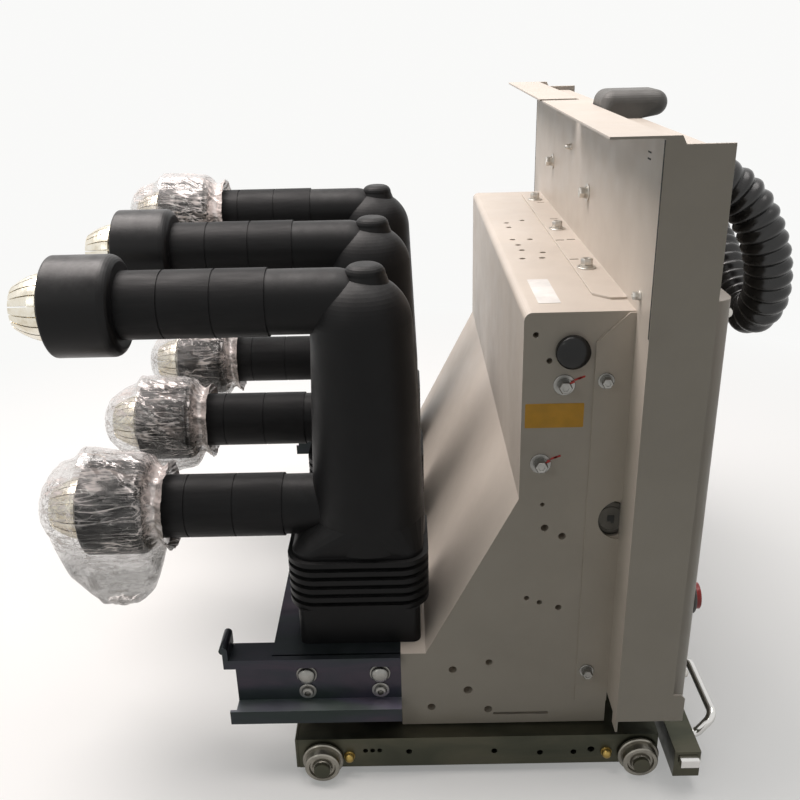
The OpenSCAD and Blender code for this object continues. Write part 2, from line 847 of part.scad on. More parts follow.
module push_buttons() {
    side_button_y = -cover_half + cover_round + button_d / 2;
    color(red) at_origin() {
        for (y = [-1, 1])
            translate([cover_x + panel_t, y * panel_w / 4, panel_z]) along_x()
                cylinder(d = button_d, h = button_h, $fn = smooth);
        translate([cover_x, side_button_y, pan_bottom_z + side_button_rise]) along_x()
            cylinder(d = button_d, h = button_h, $fn = smooth);
    }
}

// Truck

module axle_pin(x) {
    head_t = 3;
    head_r = axle_r + 3;
    translate([x, -wheel_y - wheel_w - head_t, wheel_r]) along_y() {
        cylinder(r = head_r, h = head_t - seat, $fn = smooth);
        cylinder(r = axle_r, h = head_t + wheel_w + wheel_gap + over, $fn = smooth);
    }
    translate([x, -wheel_y + seat, wheel_r]) along_y() cylinder(r = head_r, h = wheel_gap, $fn = smooth);
}

module truck_channel(side) {
    lower_z = truck_clear;
    upper_z = truck_top_z - truck_t;
    lower_flange = truck_flange - 10;
    color(yellow_zinc) at_origin() mirrored_y(side) {
        difference() {
            block([-truck_back, -web_y, lower_z], [truck_front, -web_y + truck_t, truck_top_z]);
            for (h = web_holes)
                translate([h.x, -web_y - over, h.y]) along_y()
                    cylinder(d = h.z, h = truck_t + 2 * over, $fn = 24);
        }
        block([-truck_back, -web_y, upper_z], [truck_front, -web_y + truck_flange, truck_top_z]);
        block([-truck_back, -web_y, lower_z], [truck_front, -web_y + lower_flange, lower_z + truck_t]);
        for (x = [rear_axle_x, front_axle_x]) axle_pin(x);
    }
}

module guide_block(y) {
    bar_z = screw_z - guide_w / 2;
    block([guide_block_x, y - guide_w, floor_top_z - over / 2],
          [guide_block_x + guide_block_l, y + guide_w, bar_z - slide_gap]);
}

module screw_nut() {
    nut_l = guide_block_l / 2;
    nut_half = 22;
    difference() {
        block([guide_block_x, -nut_half, floor_top_z - over / 2],
              [guide_block_x + nut_l, nut_half, truck_top_z - truck_t]);
        translate([guide_block_x - over, 0, screw_z]) along_x()
            cylinder(r = screw_d / 2 + slide_gap, h = nut_l + 2 * over, $fn = smooth);
    }
}

module truck_floor() {
    inner = web_y - truck_t - seat;
    strap_half = web_y - truck_flange;
    color(yellow_zinc) at_origin() {
        block([-truck_back, -inner, truck_clear + truck_t], [truck_front, inner, floor_top_z]);
        block([-truck_back - truck_t, -web_y, truck_clear], [-truck_back, web_y, truck_top_z]);
        for (y = [-guide_y, guide_y]) guide_block(y);
        screw_nut();
        for (x = [-truck_back, guide_block_x])
            block([x, -strap_half, truck_top_z - truck_t], [x + strap_w, strap_half, truck_top_z]);
    }
}

module wheel(x, side) {
    flange_w = 4;
    tread_r = tread_d / 2;
    bore_r = axle_r + axle_clear;
    color(silver) at_origin() mirrored_y(side) translate([x, -wheel_y, wheel_r]) along_y() mirror([0, 0, 1])
        rotate_extrude($fn = smooth) polygon([
            [bore_r, 0], [wheel_r - 1, 0], [wheel_r, 1], [wheel_r, flange_w - 1], [wheel_r - 1, flange_w],
            [tread_r, flange_w], [tread_r, wheel_w - 2], [tread_r - 1, wheel_w - 1],
            [tread_r - 4, wheel_w - 1], [tread_r - 5, wheel_w - 3],
            [axle_r + 5, wheel_w - 3], [axle_r + 4, wheel_w], [bore_r, wheel_w]
        ]);
}

// Crossbeam, with the guide bars and racking screw that carry it

module crossbeam() {
    half = beam_l / 2;
    bolt_top_z = bolt_z + bolt_h;
    leg_outer = -handle_y - handle_span / 2;
    leg_inner = -handle_y + handle_span / 2 + handle_travel;
    leg_room = handle_r + 1;
    color(yellow_zinc) at_origin() difference() {
        block([beam_x, -half, beam_bottom_z], [beam_front, half, beam_top_z]);
        for (side = [near, far]) mirrored_y(side) {
            block([bolt_back, -half - over, bolt_z - slide_gap],
                  [bolt_front, leg_inner + 12, bolt_top_z + slide_gap]);
            block([slot_back, leg_outer - leg_room, bolt_z - 1],
                  [beam_front + over, leg_inner + leg_room, bolt_top_z + 1]);
        }
    }
}

module guide_bars() {
    bar_z0 = screw_z - guide_w / 2;
    color(yellow_zinc) at_origin() for (y = [-guide_y, guide_y])
        block([beam_x - guide_l, y - guide_w / 2, bar_z0], [beam_x, y + guide_w / 2, bar_z0 + guide_w]);
}

module racking_screw() {
    color(silver) at_origin() translate([beam_x - guide_l, 0, screw_z])
        along_x() cylinder(d = screw_d, h = guide_l, $fn = smooth);
}

// Handle with the locking bolt that it draws in

module bar_bend(angle) {
    rotate_extrude(angle = angle, $fn = smooth) translate([handle_bend, 0]) circle(handle_r, $fn = smooth);
}

// Half of the bent bar, from the locking bolt to the middle of the grip
module half_bar() {
    straight = handle_leg_l - handle_bend;
    foot_l = beam_front - slot_back + over;
    translate([slot_back, 0, 0]) along_x() cylinder(r = handle_r, h = foot_l, $fn = smooth);
    bend_centre = [beam_front + over, 0, handle_bend];
    translate(bend_centre) rotate([90, 0, 0]) rotate(-90) bar_bend(handle_tilt);
    translate(bend_centre) rotate([0, -handle_tilt, 0]) translate([0, 0, -handle_bend]) {
        along_x() cylinder(r = handle_r, h = straight, $fn = smooth);
        translate([straight, handle_bend, 0]) rotate(-90) bar_bend(90);
        translate([handle_leg_l, handle_bend, 0]) along_y()
            cylinder(r = handle_r, h = handle_span / 2 - handle_bend, $fn = smooth);
    }
}

module handle(side) {
    half = beam_l / 2;
    color(chrome) at_origin() mirrored_y(side) {
        translate([0, -handle_y, handle_foot_z]) for (end = [near, far])
            mirrored_y(end) translate([0, -handle_span / 2, 0]) half_bar();
        block([bolt_back + slide_gap, -half - bolt_out, bolt_z],
              [bolt_front - slide_gap, -handle_y + handle_span / 2 + 6, bolt_z + bolt_h]);
    }
}

// Hose, swept along its route

function tangent(i) =
    let (n = len(hose_route), a = hose_route[max(i - 1, 0)], b = hose_route[min(i + 1, n - 1)])
    (b - a) / norm(b - a);

function ring(i) =
    let (t = tangent(i), s = cross(t, [0.2, 0.1, 1]), u = s / norm(s), v = cross(t, u))
    [for (k = [0 : hose_sides - 1])
        hose_route[i] + hose_d / 2 * (cos(360 * k / hose_sides) * u + sin(360 * k / hose_sides) * v)];

module hose() {
    n = len(hose_route);
    m = hose_sides;
    points = [for (i = [0 : n - 1]) each ring(i)];
    sides = [for (i = [0 : n - 2], k = [0 : m - 1])
        [i * m + k, i * m + (k + 1) % m, (i + 1) * m + (k + 1) % m, (i + 1) * m + k]];
    ends = [[for (k = [m - 1 : -1 : 0]) k], [for (k = [0 : m - 1]) (n - 1) * m + k]];
    color(black) at_origin() polyhedron(points, concat(sides, ends));
}

pole(near);  // pole_near
pole(middle);  // pole_middle
pole(far);  // pole_far
arm(near, upper_axis_z);  // arm_near_upper
arm(middle, upper_axis_z);  // arm_middle_upper
arm(far, upper_axis_z);  // arm_far_upper
arm(near, lower_axis_z);  // arm_near_lower
arm(middle, lower_axis_z);  // arm_middle_lower
arm(far, lower_axis_z);  // arm_far_lower
shield(near, upper_axis_z);  // shield_near_upper
shield(middle, upper_axis_z);  // shield_middle_upper
shield(far, upper_axis_z);  // shield_far_upper
shield(near, lower_axis_z);  // shield_near_lower
shield(middle, lower_axis_z);  // shield_middle_lower
shield(far, lower_axis_z);  // shield_far_lower
contact(near, upper_axis_z);  // contact_near_upper
contact(middle, upper_axis_z);  // contact_middle_upper
contact(far, upper_axis_z);  // contact_far_upper
contact(near, lower_axis_z);  // contact_near_lower
contact(middle, lower_axis_z);  // contact_middle_lower
contact(far, lower_axis_z);  // contact_far_lower
film(near, lower_axis_z, pouch_drop);  // film_near_lower
film(middle, lower_axis_z, 2 * film_sag);  // film_middle_lower
film(far, lower_axis_z, film_sag);  // film_far_lower
film(far, upper_axis_z, film_sag);  // film_far_upper
housing();
side_plate(near);  // side_plate_near
side_plate(far);  // side_plate_far
side_covers();
blanking_plugs();
pole_brackets();
pole_shelf();
pan();
front_cover();
cover_hood();
push_buttons();
truck_channel(near);  // truck_channel_near
truck_channel(far);  // truck_channel_far
truck_floor();
wheel(rear_axle_x, near);  // wheel_rear_near
wheel(rear_axle_x, far);  // wheel_rear_far
wheel(front_axle_x, near);  // wheel_front_near
wheel(front_axle_x, far);  // wheel_front_far
crossbeam();
guide_bars();
racking_screw();
handle(near);  // handle_near
handle(far);  // handle_far
hose();
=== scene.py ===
import json
import math

import bmesh
import bpy
from mathutils import Matrix, Vector, noise


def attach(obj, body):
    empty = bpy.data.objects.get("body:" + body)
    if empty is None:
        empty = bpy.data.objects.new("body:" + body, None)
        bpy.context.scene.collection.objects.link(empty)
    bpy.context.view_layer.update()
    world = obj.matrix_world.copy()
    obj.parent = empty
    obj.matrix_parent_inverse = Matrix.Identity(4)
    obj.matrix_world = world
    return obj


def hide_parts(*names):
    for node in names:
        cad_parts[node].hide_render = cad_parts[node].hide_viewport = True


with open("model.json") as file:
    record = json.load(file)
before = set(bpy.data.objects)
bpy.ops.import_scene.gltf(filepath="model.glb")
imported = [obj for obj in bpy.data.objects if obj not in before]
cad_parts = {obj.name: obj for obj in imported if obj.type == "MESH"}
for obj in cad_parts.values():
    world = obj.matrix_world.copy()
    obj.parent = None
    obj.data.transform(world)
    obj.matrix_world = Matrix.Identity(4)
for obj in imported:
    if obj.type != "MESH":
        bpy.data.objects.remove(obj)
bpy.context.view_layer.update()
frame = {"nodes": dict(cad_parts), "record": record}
nodes = frame["nodes"]

# Distance from the pole axes to the part's own origin along X, in millimetres
MID = 8.4587
MM = 0.001


def P(x, y, z):
    """A point given in millimetres from the pole axes, as a point of the part in metres."""
    return Vector(((x - MID) * MM, y * MM, z * MM))


# Places that several pieces share, in millimetres: the phases across the part and the two rows of arms
PHASES = {"near": -210, "middle": 0, "far": 210}
ARMS = {"upper": 462, "lower": 257}
# Outer face of a side plate, back plate of the pan, top of the housing and of the flange on it
SIDE_Y = 283
PAN_X = 228
HOUSING_TOP_Z = 469
FLANGE_TOP_Z = 471
# Faces of the front cover and of its panel, and the panel's middle height
COVER_X = 296
PANEL_X = 300
PANEL_Z = 345
# Outer face of a truck channel
TRUCK_Y = 300

DOWN_Y = Vector((0, -1, 0))
UP_Y = Vector((0, 1, 0))
UP = Vector((0, 0, 1))
FRONT = Vector((1, 0, 0))
BACK = Vector((-1, 0, 0))


# Camera

# Pitch, yaw and roll in degrees, lens and sensor in millimetres
CAMERA_TURN = (22.63, -0.66, 1.51)
CAMERA_PLACE = P(42, -986.2, 688)
LENS = 40.5
SENSOR = 36


def make_camera():
    """The camera fitted to the straight edges in the photograph."""
    pitch, yaw, roll = (math.radians(a) for a in CAMERA_TURN)
    ahead = Vector((math.sin(yaw) * math.cos(pitch), math.cos(yaw) * math.cos(pitch), -math.sin(pitch)))
    right = Vector((math.cos(yaw), -math.sin(yaw), 0))
    down = ahead.cross(right)
    c, s = math.cos(roll), math.sin(roll)
    turn = Matrix((c * right + s * down, s * right - c * down, -ahead)).transposed()
    data = bpy.data.cameras.new("camera")
    data.lens = LENS
    data.sensor_width = SENSOR
    camera = bpy.data.objects.new("camera", data)
    bpy.context.scene.collection.objects.link(camera)
    camera.matrix_world = Matrix.Translation(CAMERA_PLACE) @ turn.to_4x4()
    bpy.context.scene.camera = camera


make_camera()


# Materials

class Finish:
    """A procedural material around one Principled shader."""

    def __init__(self, name, colour, roughness, metallic=0.0):
        self.material = bpy.data.materials.new(name)
        self.material.use_nodes = True
        self.tree = self.material.node_tree
        self.shader = self.tree.nodes["Principled BSDF"]
        self.shader.inputs["Base Color"].default_value = (*colour, 1)
        self.shader.inputs["Roughness"].default_value = roughness
        self.shader.inputs["Metallic"].default_value = metallic
        self.place = self.tree.nodes.new("ShaderNodeTexCoord").outputs["Object"]

    def link(self, a, b):
        """Joins an output to an input."""
        self.tree.links.new(a, b)

    def stretched(self, factors, turn=(0, 0, 0)):
        """Places of the part, scaled along each axis and turned."""
        mapping = self.tree.nodes.new("ShaderNodeMapping")
        mapping.inputs["Scale"].default_value = factors
        mapping.inputs["Rotation"].default_value = turn
        self.link(self.place, mapping.inputs["Vector"])
        return mapping.outputs["Vector"]

    def noise(self, scale, detail=4.0, rough=0.55, place=None, distortion=0.0):
        """A cloudy value from 0 to 1."""
        n = self.tree.nodes.new("ShaderNodeTexNoise")
        n.inputs["Scale"].default_value = scale
        n.inputs["Detail"].default_value = detail
        n.inputs["Roughness"].default_value = rough
        n.inputs["Distortion"].default_value = distortion
        self.link(place or self.place, n.inputs["Vector"])
        return n.outputs["Fac"]

    def ramp(self, factor, stops):
        """A colour for each value, between the given stops."""
        n = self.tree.nodes.new("ShaderNodeValToRGB")
        elements = n.color_ramp.elements
        while len(elements) < len(stops):
            elements.new(0.5)
        for element, (position, colour) in zip(elements, stops):
            element.position = position
            element.color = (*colour, 1)
        self.link(factor, n.inputs["Fac"])
        return n.outputs["Color"]

    def spread(self, factor, low, high, start=0.3, end=0.7):
        """Takes the values from start to end to those from low to high."""
        n = self.tree.nodes.new("ShaderNodeMapRange")
        for name, value in (("From Min", start), ("From Max", end), ("To Min", low), ("To Max", high)):
            n.inputs[name].default_value = value
        self.link(factor, n.inputs["Value"])
        return n.outputs["Result"]

    def facing_up(self):
        """How far a surface faces up, from -1 to 1."""
        geometry = self.tree.nodes.new("ShaderNodeNewGeometry")
        parts = self.tree.nodes.new("ShaderNodeSeparateXYZ")
        self.link(geometry.outputs["Normal"], parts.inputs[0])
        return parts.outputs["Z"]

    def axis(self, name):
        """Distance along one axis of the part, in metres."""
        parts = self.tree.nodes.new("ShaderNodeSeparateXYZ")
        self.link(self.place, parts.inputs[0])
        return parts.outputs[name]

    def times(self, a, b):
        """The product of two values."""
        n = self.tree.nodes.new("ShaderNodeMath")
        n.operation = "MULTIPLY"
        self.link(a, n.inputs[0])
        self.link(b, n.inputs[1])
        return n.outputs[0]

    def add(self, a, b):
        """The sum of two values, kept from 0 to 1."""
        n = self.tree.nodes.new("ShaderNodeMath")
        n.use_clamp = True
        self.link(a, n.inputs[0])
        self.link(b, n.inputs[1])
        return n.outputs[0]

    def crease(self, factor, width, level):
        """A thin line where a noise passes its middle value."""
        soft = self.tree.nodes.new("ShaderNodeMath")
        soft.operation = "PINGPONG"
        soft.inputs[1].default_value = 0.5
        self.link(factor, soft.inputs[0])
        return self.spread(soft.outputs[0], 0, level, 0.5 - width, 0.5)

    def mix(self, factor, a, b):
        """A colour between a and b, each an output or a plain colour."""
        n = self.tree.nodes.new("ShaderNodeMix")
        n.data_type = "RGBA"
        self.link(factor, n.inputs["Factor"])
        for name, value in (("A", a), ("B", b)):
            socket = [s for s in n.inputs if s.name == name and s.type == "RGBA"][0]
            if isinstance(value, tuple):
                socket.default_value = (*value, 1)
            else:
                self.link(value, socket)
        return [s for s in n.outputs if s.type == "RGBA"][0]

    def colour(self, output):
        """Drives the colour."""
        self.link(output, self.shader.inputs["Base Color"])
        return self

    def roughness(self, output):
        """Drives the roughness."""
        self.link(output, self.shader.inputs["Roughness"])
        return self

    def bump(self, height, distance, strength=1.0):
        """Adds a relief to those already there."""
        n = self.tree.nodes.new("ShaderNodeBump")
        n.inputs["Strength"].default_value = strength
        n.inputs["Distance"].default_value = distance
        self.link(height, n.inputs["Height"])
        old = self.shader.inputs["Normal"].links
        if old:
            self.link(old[0].from_socket, n.inputs["Normal"])
        self.link(n.outputs["Normal"], self.shader.inputs["Normal"])
        return self


# Specular level of the dull blacks
DULL = 0.16


def paint_finish():
    """Warm grey paint, slightly clouded, with a fine texture."""
    f = Finish("grey_paint", (0.6, 0.56, 0.49), 0.4)
    cloud = f.noise(9, 6, 0.6)
    f.colour(f.ramp(cloud, [(0.3, (0.54, 0.485, 0.425)), (0.55, (0.595, 0.535, 0.47)),
                            (0.75, (0.625, 0.565, 0.5))]))
    f.roughness(f.spread(f.noise(40, 5), 0.36, 0.5))
    f.bump(f.noise(750, 3, 0.6), 0.00012, 0.5)
    return f.material


def black_finish(name, colour, low, high, grain, depth, shine=DULL, dust_and_highlight=0.03):
    """A black moulding, paler on what faces up, partly from dirt lying there and partly from a painted
    highlight.
    """
    f = Finish(name, colour, low)
    f.shader.inputs["Specular IOR Level"].default_value = shine
    # Paler on what faces up: partly dirt lying there, partly a painted highlight on the tops
    dust_and_highlight_mask = f.times(f.spread(f.facing_up(), 0, 1, 0.45, 1.0),
                      f.spread(f.noise(60, 6, 0.65), 0.2, 0.7, 0.35, 0.75))
    dust_and_highlight_colour = tuple(c + dust_and_highlight for c in colour)
    f.colour(f.mix(dust_and_highlight_mask, colour, dust_and_highlight_colour))
    f.roughness(f.spread(f.noise(55, 5), low, high))
    f.bump(f.noise(grain, 3, 0.6), depth, 0.6)
    return f.material


def sleeve_finish():
    """Shrunk black sleeve with faint marks along the arm."""
    f = Finish("black_sleeve", (0.009, 0.0085, 0.009), 0.5)
    f.shader.inputs["Specular IOR Level"].default_value = DULL
    along = f.stretched((1.0, 6.0, 6.0))
    streaks = f.noise(30, 6, 0.6, along)
    f.colour(f.ramp(streaks, [(0.3, (0.006, 0.0058, 0.0062)), (0.7, (0.012, 0.0115, 0.012))]))
    f.roughness(f.spread(f.noise(26, 5, 0.6, along), 0.42, 0.58))
    f.bump(f.noise(45, 5, 0.6, along), 0.0004, 0.5)
    f.bump(f.noise(900, 2), 0.00008, 0.4)
    return f.material


def silver_finish():
    """Stained silver plating, brushed around the fingers."""
    f = Finish("silver_contact", (0.78, 0.74, 0.64), 0.3, 1.0)
    stain = f.noise(70, 6, 0.6)
    f.colour(f.ramp(stain, [(0.3, (0.6, 0.53, 0.4)), (0.5, (0.8, 0.75, 0.64)), (0.75, (0.86, 0.83, 0.76))]))
    f.roughness(f.spread(f.noise(160, 4), 0.24, 0.42))
    f.bump(f.noise(500, 3, 0.6, f.stretched((0.15, 1, 1))), 0.00008, 0.5)
    return f.material


def dark_zinc_finish():
    """Dark passivated zinc with a faint play of colours, darkened as painted shade, with painted light on the
    tops of the low flanges.
    """
    f = Finish("dark_zinc", (0.1, 0.12, 0.13), 0.34, 0.7)
    tint = f.noise(14, 3, 0.5, f.stretched((0.5, 1, 2.2)), 0.6)
    # Base tone with a faint play of colours, darkened as painted shade
    tone_and_painted_shade = f.ramp(tint, [(0.28, (0.02, 0.03, 0.027)), (0.42, (0.025, 0.033, 0.034)),
                          (0.55, (0.032, 0.034, 0.044)), (0.68, (0.048, 0.039, 0.053)),
                          (0.8, (0.036, 0.046, 0.043))])
    # Painted light and reflection on the tops of the low flanges, with a play of colours
    bright = f.ramp(tint, [(0.3, (0.24, 0.3, 0.26)), (0.45, (0.3, 0.28, 0.37)),
                           (0.6, (0.38, 0.29, 0.36)), (0.75, (0.36, 0.36, 0.3))])
    flange_z, web_z = 0.085, 0.095
    low = f.spread(f.axis("Z"), 1, 0, flange_z, web_z)
    f.colour(f.mix(f.times(low, f.spread(f.facing_up(), 0, 1, 0.5, 0.95)), tone_and_painted_shade, bright))
    f.roughness(f.spread(f.noise(60, 6), 0.28, 0.44))
    f.bump(f.noise(420, 3, 0.6, f.stretched((0.1, 1, 1))), 0.00006, 0.5)
    return f.material


def yellow_zinc_finish():
    """Yellow zinc in dark olive tones, partly the zinc's own olive tint and partly painted shade."""
    f = Finish("yellow_zinc", (0.42, 0.38, 0.24), 0.36, 0.85)
    tint = f.noise(16, 4, 0.55, f.stretched((0.5, 1, 1.6)), 0.8)
    # Dark olive tones: the zinc's own tint, darkened as painted shade
    f.colour(f.ramp(tint, [(0.28, (0.044, 0.047, 0.034)), (0.45, (0.064, 0.066, 0.047)),
                           (0.58, (0.088, 0.085, 0.06)), (0.72, (0.078, 0.075, 0.06))]))
    f.roughness(f.spread(f.noise(70, 6), 0.28, 0.46))
    f.bump(f.noise(420, 3, 0.6, f.stretched((0.1, 1, 1))), 0.00006, 0.5)
    return f.material


def steel_finish(name, colour, low, high, stain=0.2):
    """A bare metal; stain says how far its tone wanders."""
    f = Finish(name, colour, low, 1.0)
    worn = tuple(min(1, c * (1 + stain * 0.6)) for c in colour)
    dull = tuple(c * (1 - stain) for c in colour)
    f.colour(f.ramp(f.noise(90, 6, 0.6), [(0.3, dull), (0.55, colour), (0.75, worn)]))
    f.roughness(f.spread(f.noise(140, 5), low, high))
    f.bump(f.noise(700, 2), 0.00005, 0.4)
    return f.material


def plastic_finish(name, colour, low, high, grain=600, depth=0.0001):
    """A moulded plastic or a printed film with a slight unevenness of tone."""
    f = Finish(name, colour, low)
    pale = tuple(min(1, c * 1.18 + 0.004) for c in colour)
    deep = tuple(c * 0.86 for c in colour)
    f.colour(f.ramp(f.noise(35, 6, 0.6), [(0.3, deep), (0.7, pale)]))
    f.roughness(f.spread(f.noise(80, 5), low, high))
    f.bump(f.noise(grain, 3, 0.6), depth, 0.5)
    return f.material


def film_finish():
    """Thin clear film with pale lines of painted highlight along its creases, a painted highlight on top,
    whiter where it is gathered, and greyer with painted shade where it hangs.
    """
    f = Finish("clear_film", (0.5, 0.5, 0.49), 0.14, 0.2)
    f.shader.inputs["Specular IOR Level"].default_value = 1.0
    height = f.axis("Z")
    along = f.stretched((0.14, 1, 1), (0.1, 0.3, -0.2))
    steep = f.stretched((0.2, 1, 1), (0.2, -0.45, 0.3))
    # Pale lines along the creases: painted highlights
    fine = f.crease(f.noise(120, 1.5, 0.5, along, 0.3), 0.04, 0.4)
    bold = f.crease(f.noise(60, 2, 0.5, along, 0.3), 0.022, 0.7)
    cross = f.crease(f.noise(52, 2, 0.5, steep, 0.4), 0.02, 0.6)
    hair = f.crease(f.noise(230, 1, 0.5, steep, 0.2), 0.06, 0.3)
    patches = f.spread(f.noise(28, 3, 0.55), 0.3, 1, 0.4, 0.56)
    # Heights between which film hangs or is drawn tight, and places along X between which it is gathered
    hanging, tight = 0.198, 0.214
    plain, gathered = -0.224, -0.213
    calm = f.spread(height, 0.3, 1, hanging, tight)
    crease_highlights = f.times(f.times(f.add(f.add(fine, hair), f.add(bold, cross)), patches), calm)
    veil = f.spread(f.noise(30, 6, 0.65, None, 0.6), 0.06, 0.2, 0.36, 0.7)
    # Whiter on what faces up: a painted highlight
    top = f.times(f.spread(f.facing_up(), 0, 0.42, 0.0, 0.9),
                  f.spread(f.noise(75, 5, 0.6, along, 0.5), 0.1, 1, 0.42, 0.6))
    neck = f.times(f.spread(f.axis("X"), 0, 0.8, plain, gathered),
                   f.spread(f.noise(90, 4, 0.6), 0.55, 1, 0.4, 0.6))
    hang = f.spread(height, 0.3, 0, hanging, tight)
    white = f.add(crease_highlights, f.add(neck, top))
    # Greyer below the hanging height: painted shade under the bag
    clear = f.mix(f.spread(height, 1, 0, hanging, tight), (0.52, 0.5, 0.49), (0.26, 0.265, 0.25))
    f.colour(f.mix(white, clear, (0.84, 0.75, 0.72)))
    f.link(f.add(f.add(veil, hang), white), f.shader.inputs["Alpha"])
    f.roughness(f.spread(f.noise(90, 4), 0.1, 0.22))
    f.bump(f.noise(60, 3, 0.5, along), 0.002, 0.9)
    f.bump(f.noise(45, 2, 0.5, steep), 0.002, 0.7)
    return f.material


LOOKS = {
    "black_epoxy": black_finish("black_epoxy", (0.007, 0.0068, 0.0072), 0.4, 0.52, 500, 0.00012, DULL, 0.06),
    "black_sleeve": sleeve_finish(),
    # The shield's larger share of pale on top is mostly a painted highlight
    "black_shield": black_finish("black_shield", (0.0075, 0.007, 0.0075), 0.3, 0.42, 900, 0.00006, 0.2, 0.13),
    "silver_contact": silver_finish(),
    "clear_film": film_finish(),
    "grey_paint": paint_finish(),
    "black_plug": black_finish("black_plug", (0.006, 0.006, 0.006), 0.16, 0.26, 600, 0.00006, 0.3),
    "dark_zinc": dark_zinc_finish(),
    "cover_plastic": plastic_finish("cover_plastic", (0.1, 0.096, 0.09), 0.42, 0.58, 420, 0.00016),
    "red_plastic": plastic_finish("red_plastic", (0.5, 0.02, 0.016), 0.25, 0.38),
    "yellow_zinc": yellow_zinc_finish(),
    "wheel_steel": steel_finish("wheel_steel", (0.28, 0.265, 0.23), 0.28, 0.45),
    "chrome": steel_finish("chrome", (0.7, 0.69, 0.67), 0.12, 0.18, 0.06),
    "hose_plastic": plastic_finish("hose_plastic", (0.018, 0.017, 0.017), 0.2, 0.3, 300, 0.0001),
    "zinc": steel_finish("zinc", (0.25, 0.245, 0.23), 0.28, 0.46, 0.3),
    "orange_label": plastic_finish("orange_label", (0.72, 0.37, 0.03), 0.4, 0.55),
    "white_label": plastic_finish("white_label", (0.72, 0.71, 0.69), 0.45, 0.6),
    "red_mark": plastic_finish("red_mark", (0.55, 0.03, 0.02), 0.35, 0.5),
    "bright_zinc": steel_finish("bright_zinc", (0.58, 0.56, 0.52), 0.3, 0.45, 0.15),
    "brass_zinc": steel_finish("brass_zinc", (0.34, 0.24, 0.075), 0.34, 0.48, 0.15),
    "dark_steel": steel_finish("dark_steel", (0.085, 0.08, 0.07), 0.5, 0.62),
    # Near-black for the plates of painted shade in slots, seams and the shaft's socket
    "dark_gap": plastic_finish("dark_gap", (0.012, 0.012, 0.011), 0.6, 0.8),
    "smoked_pane": plastic_finish("smoked_pane", (0.03, 0.032, 0.034), 0.06, 0.12, 300, 0.00002),
    "green_plastic": plastic_finish("green_plastic", (0.03, 0.25, 0.06), 0.25, 0.38),
}

# Solids whose sharp edges are softened
SOFT_EDGED = ("pan", "pole_brackets", "crossbeam", "front_cover", "guide_bars", "truck_floor")
# Width of a softened edge, and the distance within which points are joined for it, in metres
EDGE, JOINED = 0.0006, 0.00002
# Least angle of an edge that is softened, in degrees
EDGE_ANGLE = 40


def dress_nodes():
    """Gives every solid its finish, and softens the sharp edges of some."""
    for part in frame["record"]["subparts"]:
        solid = nodes[part["node"]]
        solid.data.materials.clear()
        solid.data.materials.append(LOOKS[part["material_slot"]])
        if part["node"] in SOFT_EDGED:
            weld = solid.modifiers.new("weld", "WELD")
            weld.merge_threshold = JOINED
            bevel = solid.modifiers.new("bevel", "BEVEL")
            bevel.width = EDGE
            bevel.segments = 2
            bevel.angle_limit = math.radians(EDGE_ANGLE)
            bevel.harden_normals = True


dress_nodes()


# Pieces

def piece(name, mesh, body, look, sharp=35):
    """Turns a bmesh into a piece that rides on a body."""
    data = bpy.data.meshes.new(name)
    mesh.normal_update()
    mesh.to_mesh(data)
    mesh.free()
    for face in data.polygons:
        face.use_smooth = True
    data.set_sharp_from_angle(angle=math.radians(sharp))
    made = bpy.data.objects.new(name, data)
    bpy.context.scene.collection.objects.link(made)
    data.materials.append(LOOKS[look])
    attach(made, body)
    return made


def turned(mesh, profile, base, axis, sides=24):
    """Adds a closed turned form: profile is (radius, height) along axis from base."""
    turn = axis.to_track_quat("Z", "Y").to_matrix()
    rings = []
    for r, h in profile:
        if r == 0:
            rings.append([mesh.verts.new(base + turn @ Vector((0, 0, h)))])
            continue
        angles = [2 * math.pi * k / sides for k in range(sides)]
        rings.append([mesh.verts.new(base + turn @ Vector((r * math.cos(a), r * math.sin(a), h)))
                      for a in angles])
    for lower, upper in zip(rings, rings[1:]):
        for k in range(sides):
            j = (k + 1) % sides
            if len(lower) == 1 and len(upper) == 1:
                continue
            if len(lower) == 1:
                mesh.faces.new((lower[0], upper[j], upper[k]))
            elif len(upper) == 1:
                mesh.faces.new((lower[k], lower[j], upper[0]))
            else:
                mesh.faces.new((lower[k], lower[j], upper[j], upper[k]))


# Height at which a washer starts, just under its seat, and the bevel of small edges, in metres
SUNK = -0.0004
BEVEL = 0.0003


def hex_bolt(mesh, base, axis, across, washer_d):
    """A hexagon screw with a split washer and a flat washer, seated on base."""
    w, s, h = 0.0014, 0.0016, across * 0.62
    r = washer_d / 2
    turned(mesh, [(0, SUNK), (r, SUNK), (r, w - BEVEL), (r - BEVEL, w), (0, w)], base, axis, 32)
    r = across * 0.62
    turned(mesh, [(0, w), (r, w), (r, w + s), (0, w + s)], base, axis, 24)
    r = across / math.sqrt(3)
    z = w + s
    turned(mesh, [(0, z), (r * 0.97, z), (r, z + BEVEL), (r, z + h * 0.85), (r * 0.87, z + h),
                  (r * 0.5, z + h), (r * 0.45, z + h - 0.0005), (0, z + h - 0.0005)], base, axis, 6)


def dome_bolt(mesh, base, axis, d):
    """A round-headed carriage bolt on a washer."""
    r = d / 2
    w = 0.0016
    turned(mesh, [(0, SUNK), (r * 1.15, SUNK), (r * 1.15, 0.0012), (r * 1.1, w), (0, w)], base, axis, 32)
    turned(mesh, [(0, w), (r, w), (r, 0.003), (r * 0.93, 0.0046), (r * 0.75, 0.006),
                  (r * 0.45, 0.0069), (0, 0.0072)], base, axis, 32)


